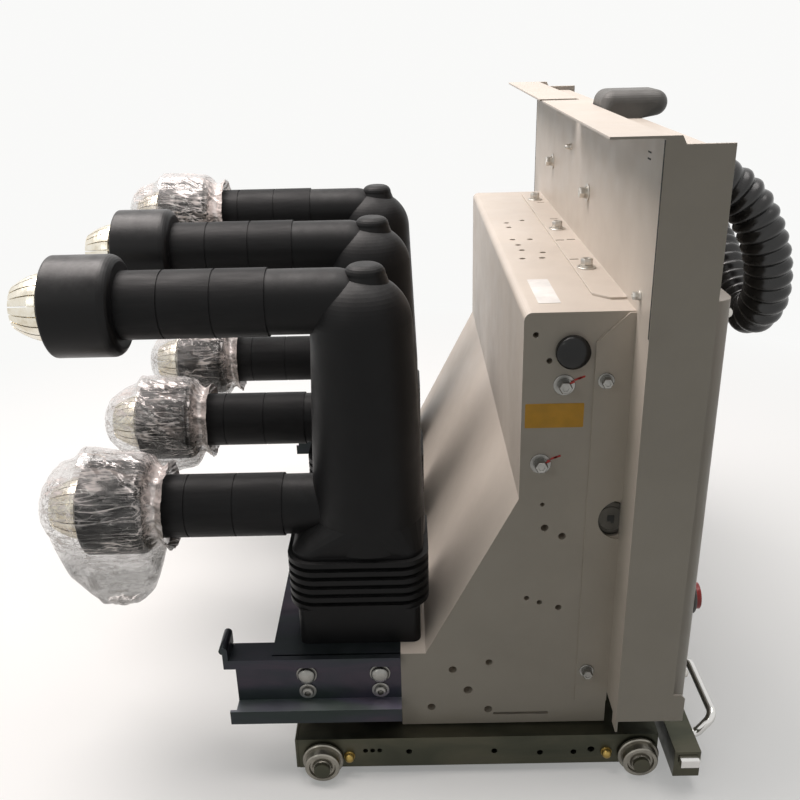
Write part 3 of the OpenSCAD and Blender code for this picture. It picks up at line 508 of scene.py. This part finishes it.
def socket_screw(mesh, base, axis, d):
    """A low round head with a hexagon socket, on a washer."""
    r = d / 2
    w = 0.0014
    turned(mesh, [(0, SUNK), (r, SUNK), (r, 0.001), (r * 0.95, w), (0, w)], base, axis, 32)
    r *= 0.72
    turned(mesh, [(0, w), (r, w), (r, 0.0026), (r * 0.82, 0.0042), (r * 0.5, 0.0047)], base, axis, 32)
    turned(mesh, [(r * 0.5, 0.0047), (r * 0.44, 0.0018), (0, 0.0016)], base, axis, 6)


def plate(mesh, centre, across, along, normal, thick, corner):
    """A thin rounded plate; across and along are its half-edges as vectors."""
    u, v = across.normalized(), along.normalized()
    a, b = across.length - corner, along.length - corner
    outline = []
    for sx, sy, start in ((1, 1, 0), (-1, 1, 90), (-1, -1, 180), (1, -1, 270)):
        for step in range(5):
            t = math.radians(start + step * 22.5)
            outline.append(u * (sx * a + corner * math.cos(t)) + v * (sy * b + corner * math.sin(t)))
    low = [mesh.verts.new(centre + p) for p in outline]
    high = [mesh.verts.new(centre + p + normal * thick) for p in outline]
    n = len(outline)
    mesh.faces.new(high)
    mesh.faces.new(low[::-1])
    for k in range(n):
        mesh.faces.new((low[k], low[(k + 1) % n], high[(k + 1) % n], high[k]))


# Hose

HOSE_D = 0.04
HOSE_ROUTE = [P(*p) for p in (
    (292, -236, 562), (303, -236, 562), (316, -236, 553), (328, -237, 540), (338, -238, 522),
    (346, -237, 502), (351, -234, 481), (353, -228, 462), (352, -217, 447), (350, -202, 441),
    (349, -184, 446), (347, -166, 455), (345, -148, 467), (343, -130, 479), (340, -112, 490),
    (337, -96, 498), (333, -82, 505), (327, -71, 509), (318, -65, 510), (306, -65, 510))]


def through(points, steps):
    """Points on a smooth curve through the given ones."""
    ends = [2 * points[0] - points[1], *points, 2 * points[-1] - points[-2]]
    curve = []
    for a, b, c, d in zip(ends, ends[1:], ends[2:], ends[3:]):
        for i in range(steps):
            t = i / steps
            curve.append(0.5 * (2 * b + (c - a) * t + (2 * a - 5 * b + 4 * c - d) * t * t
                                + (3 * b - a - 3 * c + d) * t ** 3))
    return curve + [points[-1]]


def even(points, step):
    """The same line with points a fixed step apart."""
    reach = [0.0]
    for a, b in zip(points, points[1:]):
        reach.append(reach[-1] + (b - a).length)
    count = round(reach[-1] / step)
    line, k = [], 0
    for i in range(count + 1):
        s = reach[-1] * i / count
        while k < len(points) - 2 and reach[k + 1] < s:
            k += 1
        t = (s - reach[k]) / (reach[k + 1] - reach[k])
        line.append(points[k].lerp(points[k + 1], t))
    return line, reach[-1]


def tube(mesh, line, radius, sides):
    """A closed tube along a line; radius gives the radius at each point."""
    normal = None
    rings = []
    for i, p in enumerate(line):
        ahead = (line[min(i + 1, len(line) - 1)] - line[max(i - 1, 0)]).normalized()
        if normal is None:
            normal = ahead.orthogonal().normalized()
        normal = (normal - ahead * normal.dot(ahead)).normalized()
        side = ahead.cross(normal)
        r = radius(i)
        angles = [2 * math.pi * k / sides for k in range(sides)]
        rings.append([mesh.verts.new(p + r * (normal * math.cos(a) + side * math.sin(a))) for a in angles])
    for a, b in zip(rings, rings[1:]):
        for k in range(sides):
            j = (k + 1) % sides
            mesh.faces.new((a[k], a[j], b[j], b[k]))
    mesh.faces.new(rings[0][::-1])
    mesh.faces.new(rings[-1])


def make_hose():
    """The corrugated hose, ridge by ridge along its route."""
    step, pitch = 0.0009, 0.0108
    line, length = even(through(HOSE_ROUTE, 12), step)
    deep, high = 0.0172, HOSE_D / 2

    def ridge(i):
        wave = 0.5 + 0.5 * math.cos(2 * math.pi * i * step / pitch)
        return deep + (high - deep) * wave ** 0.6

    mesh = bmesh.new()
    tube(mesh, line, ridge, 32)
    hose = piece("hose_corrugated", mesh, "breaker", "hose_plastic", 60)
    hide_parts("hose")


make_hose()


# Film bags over four of the contacts

# Outline of a bag along its arm, as (distance behind the pole axis, radius) in millimetres
BAG_OUTLINE = ((320, 0.5), (319.3, 10), (317.5, 18), (313, 25), (306, 30), (296, 34), (284, 37.5),
               (278, 43), (274, 48), (262, 48.5), (235, 48.5), (217, 48), (212, 44.5), (208, 38),
               (204, 34.5), (201, 34), (197, 36.5), (193, 39.5))
# Share of the loose film that hangs under a bag, along its arm
BAG_LOOSE = ((320, 0), (314, 0.3), (302, 0.75), (285, 1), (240, 0.97), (222, 0.75), (212, 0.42),
             (203, 0.1), (193, 0))
# Share of the loose film on top of a bag, along its arm
BAG_SLACK = ((320, 0), (312, 0.5), (300, 1), (270, 1), (235, 0.5), (212, 0.2), (193, 0))
# Where the gathered neck starts, how long it is and how much deeper its folds get
NECK_START, NECK_LENGTH, NECK_FOLD = 214, 21, 5
# Radius that clears the shield, where the outline is wider than the shield's own edge
SHIELD_CLEAR, SHIELD_EDGE = 46.6, 43
# Radius from which hanging film sways, the length over which that grows, and how far it sways
SWAY_START, SWAY_REACH, SWAY = 55, 50, 7
# Depth of the folds on a narrow part, what a wide part adds and the radius that counts as wide
FOLD, FOLD_MORE, FOLD_WIDE = 1.2, 3.0, 40
# Turn of the folds along the arm, in radians for each millimetre, and the distance where it is none
TWIST, TWIST_FROM = 0.012, 250
# Scale of the noise around a bag and along it, and the crease that leaves the outline as it is
NOISE_AROUND, NOISE_ALONG, CREASE_MIDDLE = 2.3, 0.022, 0.25
# How far around a bag its hanging film reaches, in radians, and how uneven that film is
HANG_SPREAD, HANG_UNEVEN = 0.42, 0.08
# Each bag: its arm, the depth that hangs under it, the slack on its top and its place in the noise
BAGS = (("near", "lower", 60, 14, 1.3), ("middle", "lower", 15, 6, 7.7),
        ("far", "lower", 6, 5, 4.1), ("far", "upper", 6, 5, 9.2))


def along_outline(outline, x):
    """The value of an outline at one distance."""
    for (x0, r0), (x1, r1) in zip(outline, outline[1:]):
        if x0 >= x >= x1:
            return r0 + (r1 - r0) * (x0 - x) / (x0 - x1)
    return outline[-1][1]


def crease(v):
    """Sharp ridges in several sizes, from 0 to about 1."""
    total, size = 0.0, 0.55
    for _ in range(3):
        total += size * (1 - abs(noise.noise(v))) ** 2
        v = v * 2.1 + Vector((3.7, 1.9, 5.3))
        size *= 0.55
    return total


def make_bag(name, y, z, loose, slack, seed):
    """One crinkled bag: film drawn tight round the shield, gathered at its neck, slack above and below."""
    around, along = 190, 96
    mesh = bmesh.new()
    rings = []
    start, end = BAG_OUTLINE[0][0], BAG_OUTLINE[-1][0]
    for i in range(along + 1):
        x = start + (end - start) * i / along
        base = along_outline(BAG_OUTLINE, x)
        hang = loose * along_outline(BAG_LOOSE, x)
        deep = FOLD + FOLD_MORE * min(1, base / FOLD_WIDE)
        if x < NECK_START:
            deep += NECK_FOLD * (NECK_START - x) / NECK_LENGTH
        ring = []
        for k in range(around):
            a = 2 * math.pi * k / around
            twist = a + TWIST * (x - TWIST_FROM)
            where = Vector((NOISE_AROUND * math.cos(twist), NOISE_AROUND * math.sin(twist), x * NOISE_ALONG))
            where += Vector((seed, 0, 0))
            r = base + deep * (crease(where) - CREASE_MIDDLE)
            under = math.cos(a + math.pi / 2)
            turn = math.acos(max(-1, min(1, under)))
            uneven = 1 + HANG_UNEVEN * noise.noise(where * 1.7)
            r += hang * math.exp(-(turn / HANG_SPREAD) ** 2) * uneven
            puff = 0.75 + 0.5 * noise.noise(where * 0.6)
            r += slack * max(0, math.sin(a)) * along_outline(BAG_SLACK, x) * puff
            sway = 0.0
            if hang and r > SWAY_START:
                drift = noise.noise(Vector((x * 0.03, r * 0.02, seed)))
                sway = SWAY * (r - SWAY_START) / SWAY_REACH * drift
            if base > SHIELD_EDGE and r < SHIELD_CLEAR:
                r = SHIELD_CLEAR
            ring.append(mesh.verts.new(P(-x, y + r * math.cos(a) + sway, z + r * math.sin(a))))
        rings.append(ring)
    for a, b in zip(rings, rings[1:]):
        for k in range(around):
            j = (k + 1) % around
            mesh.faces.new((a[k], a[j], b[j], b[k]))
    mesh.faces.new(rings[0][::-1])
    bag = piece("bag_" + name, mesh, "breaker", "clear_film", 180)
    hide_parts("film_" + name)


for side, level, loose, slack, seed in BAGS:
    make_bag(side + "_" + level, PHASES[side], ARMS[level], loose, slack, seed)


# Fasteners and labels

# Hexagon screws: width across the flats and diameter of the washer, in metres
SIDE_HEX, COVER_HEX = (0.010, 0.0185), (0.0085, 0.014)
TOP_HEX, SMALL_HEX = (0.010, 0.018), (0.006, 0.0085)
# Screws of a side plate and of its narrow cover, as (x, z), and that cover's thickness, in millimetres
MARKED_BOLTS = ((172.2, 405.5), (154.8, 332.0))
COVER_BOLTS = ((206.8, 409.1), (206.8, 108.9))
COVER_T = 2
# Round and socket heads on a bracket
BRACKET_X, ROUND_Z, SOCKET_Z = (-63.5, 7.6), 109, 89
# Face of the blanking plug, as (x, distance out of the side plate, z), and its radius in metres
PLUG, PLUG_R = (178, 4, 435), 0.0145
# Shaft's end in the half-round window, as (x, y, z)
SHAFT = (220, 281, 275)


def along_x(half):
    return Vector((half, 0, 0))


def along_y(half):
    return Vector((0, half, 0))


def along_z(half):
    return Vector((0, 0, half))


def make_side_details(side, out):
    """Screws, the plug's cap, and the shaft's end with dark squares of painted shade in its socket, on one
    side of the housing.
    """
    y = out.y * SIDE_Y
    mesh = bmesh.new()
    for x, z in MARKED_BOLTS:
        hex_bolt(mesh, P(x, y, z), out, *SIDE_HEX)
    for x, z in COVER_BOLTS:
        hex_bolt(mesh, P(x, y + COVER_T * out.y, z), out, *COVER_HEX)
    piece("side_screws_" + side, mesh, "breaker", "zinc")
    mesh = bmesh.new()
    for x in BRACKET_X:
        dome_bolt(mesh, P(x, y, ROUND_Z), out, 0.0175)
        socket_screw(mesh, P(x, y, SOCKET_Z), out, 0.017)
    piece("bracket_screws_" + side, mesh, "breaker", "zinc")
    mesh = bmesh.new()
    r = PLUG_R
    face = P(PLUG[0], y + PLUG[1] * out.y, PLUG[2])
    turned(mesh, [(r - 0.0004, 0), (r, 0.0006), (r * 0.98, 0.0014), (r * 0.93, 0.0023), (r * 0.85, 0.0031),
                  (r * 0.72, 0.004), (r * 0.55, 0.0048), (r * 0.35, 0.0054), (r * 0.16, 0.0057), (0, 0.0058)],
           face, out, 48)
    piece("plug_cap_" + side, mesh, "breaker", "black_plug", 50)
    mesh = bmesh.new()
    hub = P(SHAFT[0], out.y * SHAFT[1], SHAFT[2])
    turned(mesh, [(0, -0.002), (0.0164, -0.002), (0.0164, 0.0002), (0.0158, 0.0006), (0.0126, 0.0006),
                  (0.0122, 0.0002), (0.0116, 0.0002), (0.0112, 0.0008), (0, 0.0008)], hub, out, 48)
    piece("shaft_end_" + side, mesh, "breaker", "dark_steel")
    # Dark squares of painted shade for the socket in the shaft's end
    mesh = bmesh.new()
    key = hub + out * 0.0007
    plate(mesh, key, along_x(0.0032), along_z(0.0032), out, 0.0003, 0.0008)
    plate(mesh, key + Vector((0.0016, 0, -0.0038)), along_x(0.0014), along_z(0.0014), out, 0.0002, 0.0003)
    piece("shaft_socket_shade_" + side, mesh, "breaker", "dark_gap")


make_side_details("near", DOWN_Y)
make_side_details("far", UP_Y)


# Middle of the blank label, as (x, z)
LABEL = (165, 377.3)
# A paint stroke over a screw: distances from the screw, half-length and thickness of each dab
STROKE = ((3.5, 1.8, 0.0045, 0.0034), (9.5, 4.4, 0.005, 0.0005), (14.5, 6.2, 0.0028, 0.0005))


def make_near_marks():
    """The paint strokes over two screws and the blank label, on the near side."""
    mesh = bmesh.new()
    for x, z in MARKED_BOLTS:
        for at, lift, half, thick in STROKE:
            plate(mesh, P(x + at, -SIDE_Y, z + lift), Vector((half, 0, half * 0.42)),
                  Vector((-0.0003, 0, 0.0007)), DOWN_Y, thick, 0.0004)
    piece("paint_marks", mesh, "breaker", "red_mark")
    mesh = bmesh.new()
    plate(mesh, P(LABEL[0], -SIDE_Y, LABEL[1]), along_x(0.025), along_z(0.0112), DOWN_Y, 0.0003, 0.001)
    piece("blank_label", mesh, "breaker", "orange_label")


make_near_marks()


# Screws of the foot flange, as (x, y), and those of the pan, as (y, z)
FLANGE_SCREWS = ((212.5, 208.7), (212.5, 25.9), (212.5, -149.5))
PAN_SCREWS = ((-60, 526), (168, 526))
PAN_SMALL_SCREW, PAN_ROUND_HEAD = (-291, 484), (48, 558)
# The blank sticker on the housing, as (x, y)
STICKER = (161.5, -219)
# Slots in the foot flange, as (x, y), two slits in the pan, as (y, z), and seams beside its back plate
FOOT_SLOTS = ((218, 191), (218, 83), (219, -28), (219, -113), (207, -30), (207, -115))
SLOT_Z = 469.8
PAN_SLITS = ((-285, 589.5), (-285, 594.5))
SEAM_Y, SEAM_Z = 324.2, 533


def make_top_details():
    """Screws, the blank sticker, and dark plates of painted shade in the slots, slits and seams on the
    housing's top and the pan.
    """
    mesh = bmesh.new()
    for x, y in FLANGE_SCREWS:
        hex_bolt(mesh, P(x, y, FLANGE_TOP_Z), UP, *TOP_HEX)
    for y, z in PAN_SCREWS:
        hex_bolt(mesh, P(PAN_X, y, z), BACK, *TOP_HEX)
    hex_bolt(mesh, P(PAN_X, *PAN_SMALL_SCREW), BACK, *SMALL_HEX)
    dome_bolt(mesh, P(PAN_X, *PAN_ROUND_HEAD), BACK, 0.006)
    piece("top_screws", mesh, "breaker", "bright_zinc")
    mesh = bmesh.new()
    plate(mesh, P(*STICKER, HOUSING_TOP_Z), along_x(0.0095), along_y(0.038), UP, 0.0003, 0.001)
    piece("blank_sticker", mesh, "breaker", "white_label")
    # Dark plates of painted shade in the slots, the seams and the slits
    mesh = bmesh.new()
    for x, y in FOOT_SLOTS:
        plate(mesh, P(x, y, SLOT_Z), along_x(0.0045), along_y(0.0015), UP, 0.0004, 0.0002)
    for y in (-SEAM_Y, SEAM_Y):
        plate(mesh, P(PAN_X, y, SEAM_Z), along_y(0.0013), along_z(0.075), BACK, 0.0002, 0.0004)
    for y, z in PAN_SLITS:
        plate(mesh, P(PAN_X, y, z), along_y(0.0045), along_z(0.0006), BACK, 0.0002, 0.0003)
    piece("pan_painted_shade", mesh, "breaker", "dark_gap")


make_top_details()


# Distance of a contact's spring behind the pole axis
SPRING_X = 277


def make_springs():
    """A coiled ring spring in the outer groove of each contact."""
    turns, steps, ring_r, coil_r, wire_r = 84, 7, 0.0301, 0.0016, 0.0005
    for level, z in ARMS.items():
        for side, y in PHASES.items():
            centre = P(-SPRING_X, y, z)
            line = []
            for k in range(turns * steps + 1):
                a, b = 2 * math.pi * k / (turns * steps), 2 * math.pi * k / steps
                r = ring_r + coil_r * math.cos(b)
                line.append(centre + Vector((coil_r * math.sin(b), r * math.cos(a), r * math.sin(a))))
            mesh = bmesh.new()
            tube(mesh, line, lambda i: wire_r, 5)
            piece("spring_%s_%s" % (side, level), mesh, "breaker", "zinc", 60)


make_springs()


# Front cover

# Buttons and windows beside the panel's middle, the windows above it and the crank socket below
BUTTON_Y, WINDOW_LIFT, CRANK_DROP = 55, 62.5, 83.3
# The lone button low on the cover, as (y, z)
LOW_BUTTON = (-288, 195)
# Screws of the panel, from its middle, and rows of screws across the cover and its upper part
PANEL_SCREWS = ((-102, 117), (102, 117), (-102, -117), (102, -117))
ROW_Y, ROW_Z = (-290, -150, 150, 290), (108, 468)
UPPER_ROW_Y, UPPER_ROW_Z = (-290, 0, 150, 290), 584
# Face of the cover's upper part, and the hose's fittings on it, as (y, z, front)
UPPER_X = 278
FITTINGS = ((-236, 562, 292), (-65, 510, 306))


def ring_plate(mesh, centre, axis, inner, outer, thick, sides=40):
    """A flat ring with a slightly rounded rim."""
    lip = thick * 0.3
    turned(mesh, [(inner, 0), (outer, 0), (outer, thick - lip), (outer - lip, thick), (inner + lip, thick),
                  (inner, thick - lip), (inner, 0)], centre, axis, sides)


def flag(mesh, y):
    """The small coloured flag behind a window."""
    plate(mesh, P(PANEL_X - 1.2, y, PANEL_Z + WINDOW_LIFT), along_y(0.012), along_z(0.008), FRONT,
          0.0003, 0.001)


def make_front_details():
    """Indicator panes, button rims, the crank socket's rim, screws and the hose's nuts."""
    sides = (-BUTTON_Y, BUTTON_Y)
    mesh = bmesh.new()
    for y in sides:
        plate(mesh, P(PANEL_X - 2.4, y, PANEL_Z + WINDOW_LIFT), along_y(0.0246), along_z(0.0136), FRONT,
              0.0012, 0.0026)
    piece("panes", mesh, "breaker", "smoked_pane")
    mesh = bmesh.new()
    flag(mesh, -BUTTON_Y)
    piece("charge_flag", mesh, "breaker", "orange_label")
    mesh = bmesh.new()
    flag(mesh, BUTTON_Y)
    turned(mesh, [(0.0122, -0.0002), (0.0122, 0.0008), (0.0114, 0.0012), (0, 0.0014)],
           P(PANEL_X + 8, BUTTON_Y, PANEL_Z), FRONT, 40)
    piece("open_flag", mesh, "breaker", "green_plastic")
    mesh = bmesh.new()
    for y in sides:
        ring_plate(mesh, P(PANEL_X, y, PANEL_Z), FRONT, 0.0124, 0.0165, 0.004)
    ring_plate(mesh, P(COVER_X, *LOW_BUTTON), FRONT, 0.0124, 0.016, 0.003)
    piece("button_rims", mesh, "breaker", "cover_plastic")
    mesh = bmesh.new()
    ring_plate(mesh, P(PANEL_X, 0, PANEL_Z - CRANK_DROP), FRONT, 0.0152, 0.021, 0.002)
    for y, z in PANEL_SCREWS:
        dome_bolt(mesh, P(PANEL_X, y, PANEL_Z + z), FRONT, 0.008)
    for y in ROW_Y:
        for z in ROW_Z:
            dome_bolt(mesh, P(COVER_X, y, z), FRONT, 0.009)
    for y in UPPER_ROW_Y:
        dome_bolt(mesh, P(UPPER_X, y, UPPER_ROW_Z), FRONT, 0.009)
    piece("front_screws", mesh, "breaker", "bright_zinc")
    mesh = bmesh.new()
    for y, z, front in FITTINGS:
        start = P(UPPER_X, y, z)
        length = (front - UPPER_X) * MM
        turned(mesh, [(0.0242, 0), (0.0285, 0), (0.0285, 0.0032), (0.0262, 0.0036)], start, FRONT, 40)
        turned(mesh, [(0.0262, 0.0036), (0.0262, length - 0.001), (0.025, length + 0.0004),
                      (0.0206, length + 0.0006)], start, FRONT, 16)
    piece("hose_nuts", mesh, "breaker", "black_plug")


make_front_details()


# Screws of a truck channel, as (x, z)
TRUCK_SCREWS = ((228, 22), (-25, 22))


def make_truck_details():
    """Yellow screw heads beside the wheels."""
    for side, out in (("near", DOWN_Y), ("far", UP_Y)):
        mesh = bmesh.new()
        for x, z in TRUCK_SCREWS:
            dome_bolt(mesh, P(x, out.y * TRUCK_Y, z), out, 0.0095)
        piece("truck_screws_" + side, mesh, "breaker", "brass_zinc")


make_truck_details()


# Stage and light

# Half-width of the floor, and the distances between which it fades to white, in metres
FLOOR_REACH = 14
FADE_START, FADE_END = 0.3, 1.3
# Share of white in the floor under the part
WHITE_NEAR = 0.25
# Strength of the world where it lights the part and where it is seen
WORLD_LIGHT, WORLD_SEEN = 0.085, 0.95
# Square lamps: name, place, the point that each faces, edge in metres, power in watts and colour
LAMPS = (
    ("key_light", (-0.85, 0.45, 2.4), (0, 0, 0.4), 1.5, 68, (1, 0.93, 0.9)),
    ("top_light", (0.5, 0.1, 2.4), (0, 0, 0.3), 1.4, 20, (1, 0.96, 0.94)),
    ("side_light", (-1.5, -1.8, 1.7), (0, 0, 0.3), 0.5, 2.8, (0.97, 1, 0.94)),
)


def seen_rays(tree):
    """1 for rays that show the stage itself, 0 for those that carry its light."""
    path = tree.nodes.new("ShaderNodeLightPath")
    total = path.outputs["Is Camera Ray"]
    for name in ("Is Glossy Ray", "Is Transmission Ray"):
        add = tree.nodes.new("ShaderNodeMath")
        add.operation = "MAXIMUM"
        tree.links.new(total, add.inputs[0])
        tree.links.new(path.outputs[name], add.inputs[1])
        total = add.outputs[0]
    return total


def make_stage():
    """A pale floor that keeps the shadow under the part and fades to white around it."""
    mesh = bmesh.new()
    reach = FLOOR_REACH
    corners = [(-reach, -reach), (reach, -reach), (reach, reach), (-reach, reach)]
    mesh.faces.new([mesh.verts.new((x, y, 0)) for x, y in corners])
    data = bpy.data.meshes.new("floor")
    mesh.to_mesh(data)
    mesh.free()
    floor = bpy.data.objects.new("floor", data)
    bpy.context.scene.collection.objects.link(floor)
    material = bpy.data.materials.new("floor")
    material.use_nodes = True
    tree = material.node_tree
    tree.nodes.clear()
    seen, bounce = tree.nodes.new("ShaderNodeBsdfDiffuse"), tree.nodes.new("ShaderNodeBsdfDiffuse")
    seen.inputs["Color"].default_value = (0.9, 0.9, 0.89, 1)
    bounce.inputs["Color"].default_value = (0.2, 0.215, 0.19, 1)
    glow = tree.nodes.new("ShaderNodeEmission")
    glow.inputs["Color"].default_value = (0.95, 0.95, 0.94, 1)
    place = tree.nodes.new("ShaderNodeTexCoord").outputs["Object"]
    far = tree.nodes.new("ShaderNodeVectorMath")
    far.operation = "LENGTH"
    tree.links.new(place, far.inputs[0])
    fade = tree.nodes.new("ShaderNodeMapRange")
    for label, value in (("From Min", FADE_START), ("From Max", FADE_END),
                         ("To Min", WHITE_NEAR), ("To Max", 1.0)):
        fade.inputs[label].default_value = value
    tree.links.new(far.outputs["Value"], fade.inputs["Value"])
    shown, mix = tree.nodes.new("ShaderNodeMixShader"), tree.nodes.new("ShaderNodeMixShader")
    tree.links.new(fade.outputs["Result"], shown.inputs["Fac"])
    tree.links.new(seen.outputs[0], shown.inputs[1])
    tree.links.new(glow.outputs[0], shown.inputs[2])
    out = tree.nodes.new("ShaderNodeOutputMaterial")
    tree.links.new(seen_rays(tree), mix.inputs["Fac"])
    tree.links.new(bounce.outputs[0], mix.inputs[1])
    tree.links.new(shown.outputs[0], mix.inputs[2])
    tree.links.new(mix.outputs[0], out.inputs["Surface"])
    data.materials.append(material)


def make_light():
    """Soft light from above and behind, with a weak one from the near side."""
    world = bpy.data.worlds.new("world")
    bpy.context.scene.world = world
    world.use_nodes = True
    tree = world.node_tree
    background = tree.nodes["Background"]
    background.inputs["Color"].default_value = (1, 1, 0.99, 1)
    level = tree.nodes.new("ShaderNodeMapRange")
    level.inputs["To Min"].default_value = WORLD_LIGHT
    level.inputs["To Max"].default_value = WORLD_SEEN
    tree.links.new(seen_rays(tree), level.inputs["Value"])
    tree.links.new(level.outputs["Result"], background.inputs["Strength"])
    for name, at, aim, size, power, tint in LAMPS:
        data = bpy.data.lights.new(name, "AREA")
        data.size = size
        data.energy = power
        data.color = tint
        lamp = bpy.data.objects.new(name, data)
        bpy.context.scene.collection.objects.link(lamp)
        lamp.location = at
        lamp.rotation_mode = "QUATERNION"
        lamp.rotation_quaternion = (Vector(aim) - Vector(at)).to_track_quat("-Z", "Y")


make_stage()
make_light()
bpy.context.scene.view_settings.view_transform = "Standard"
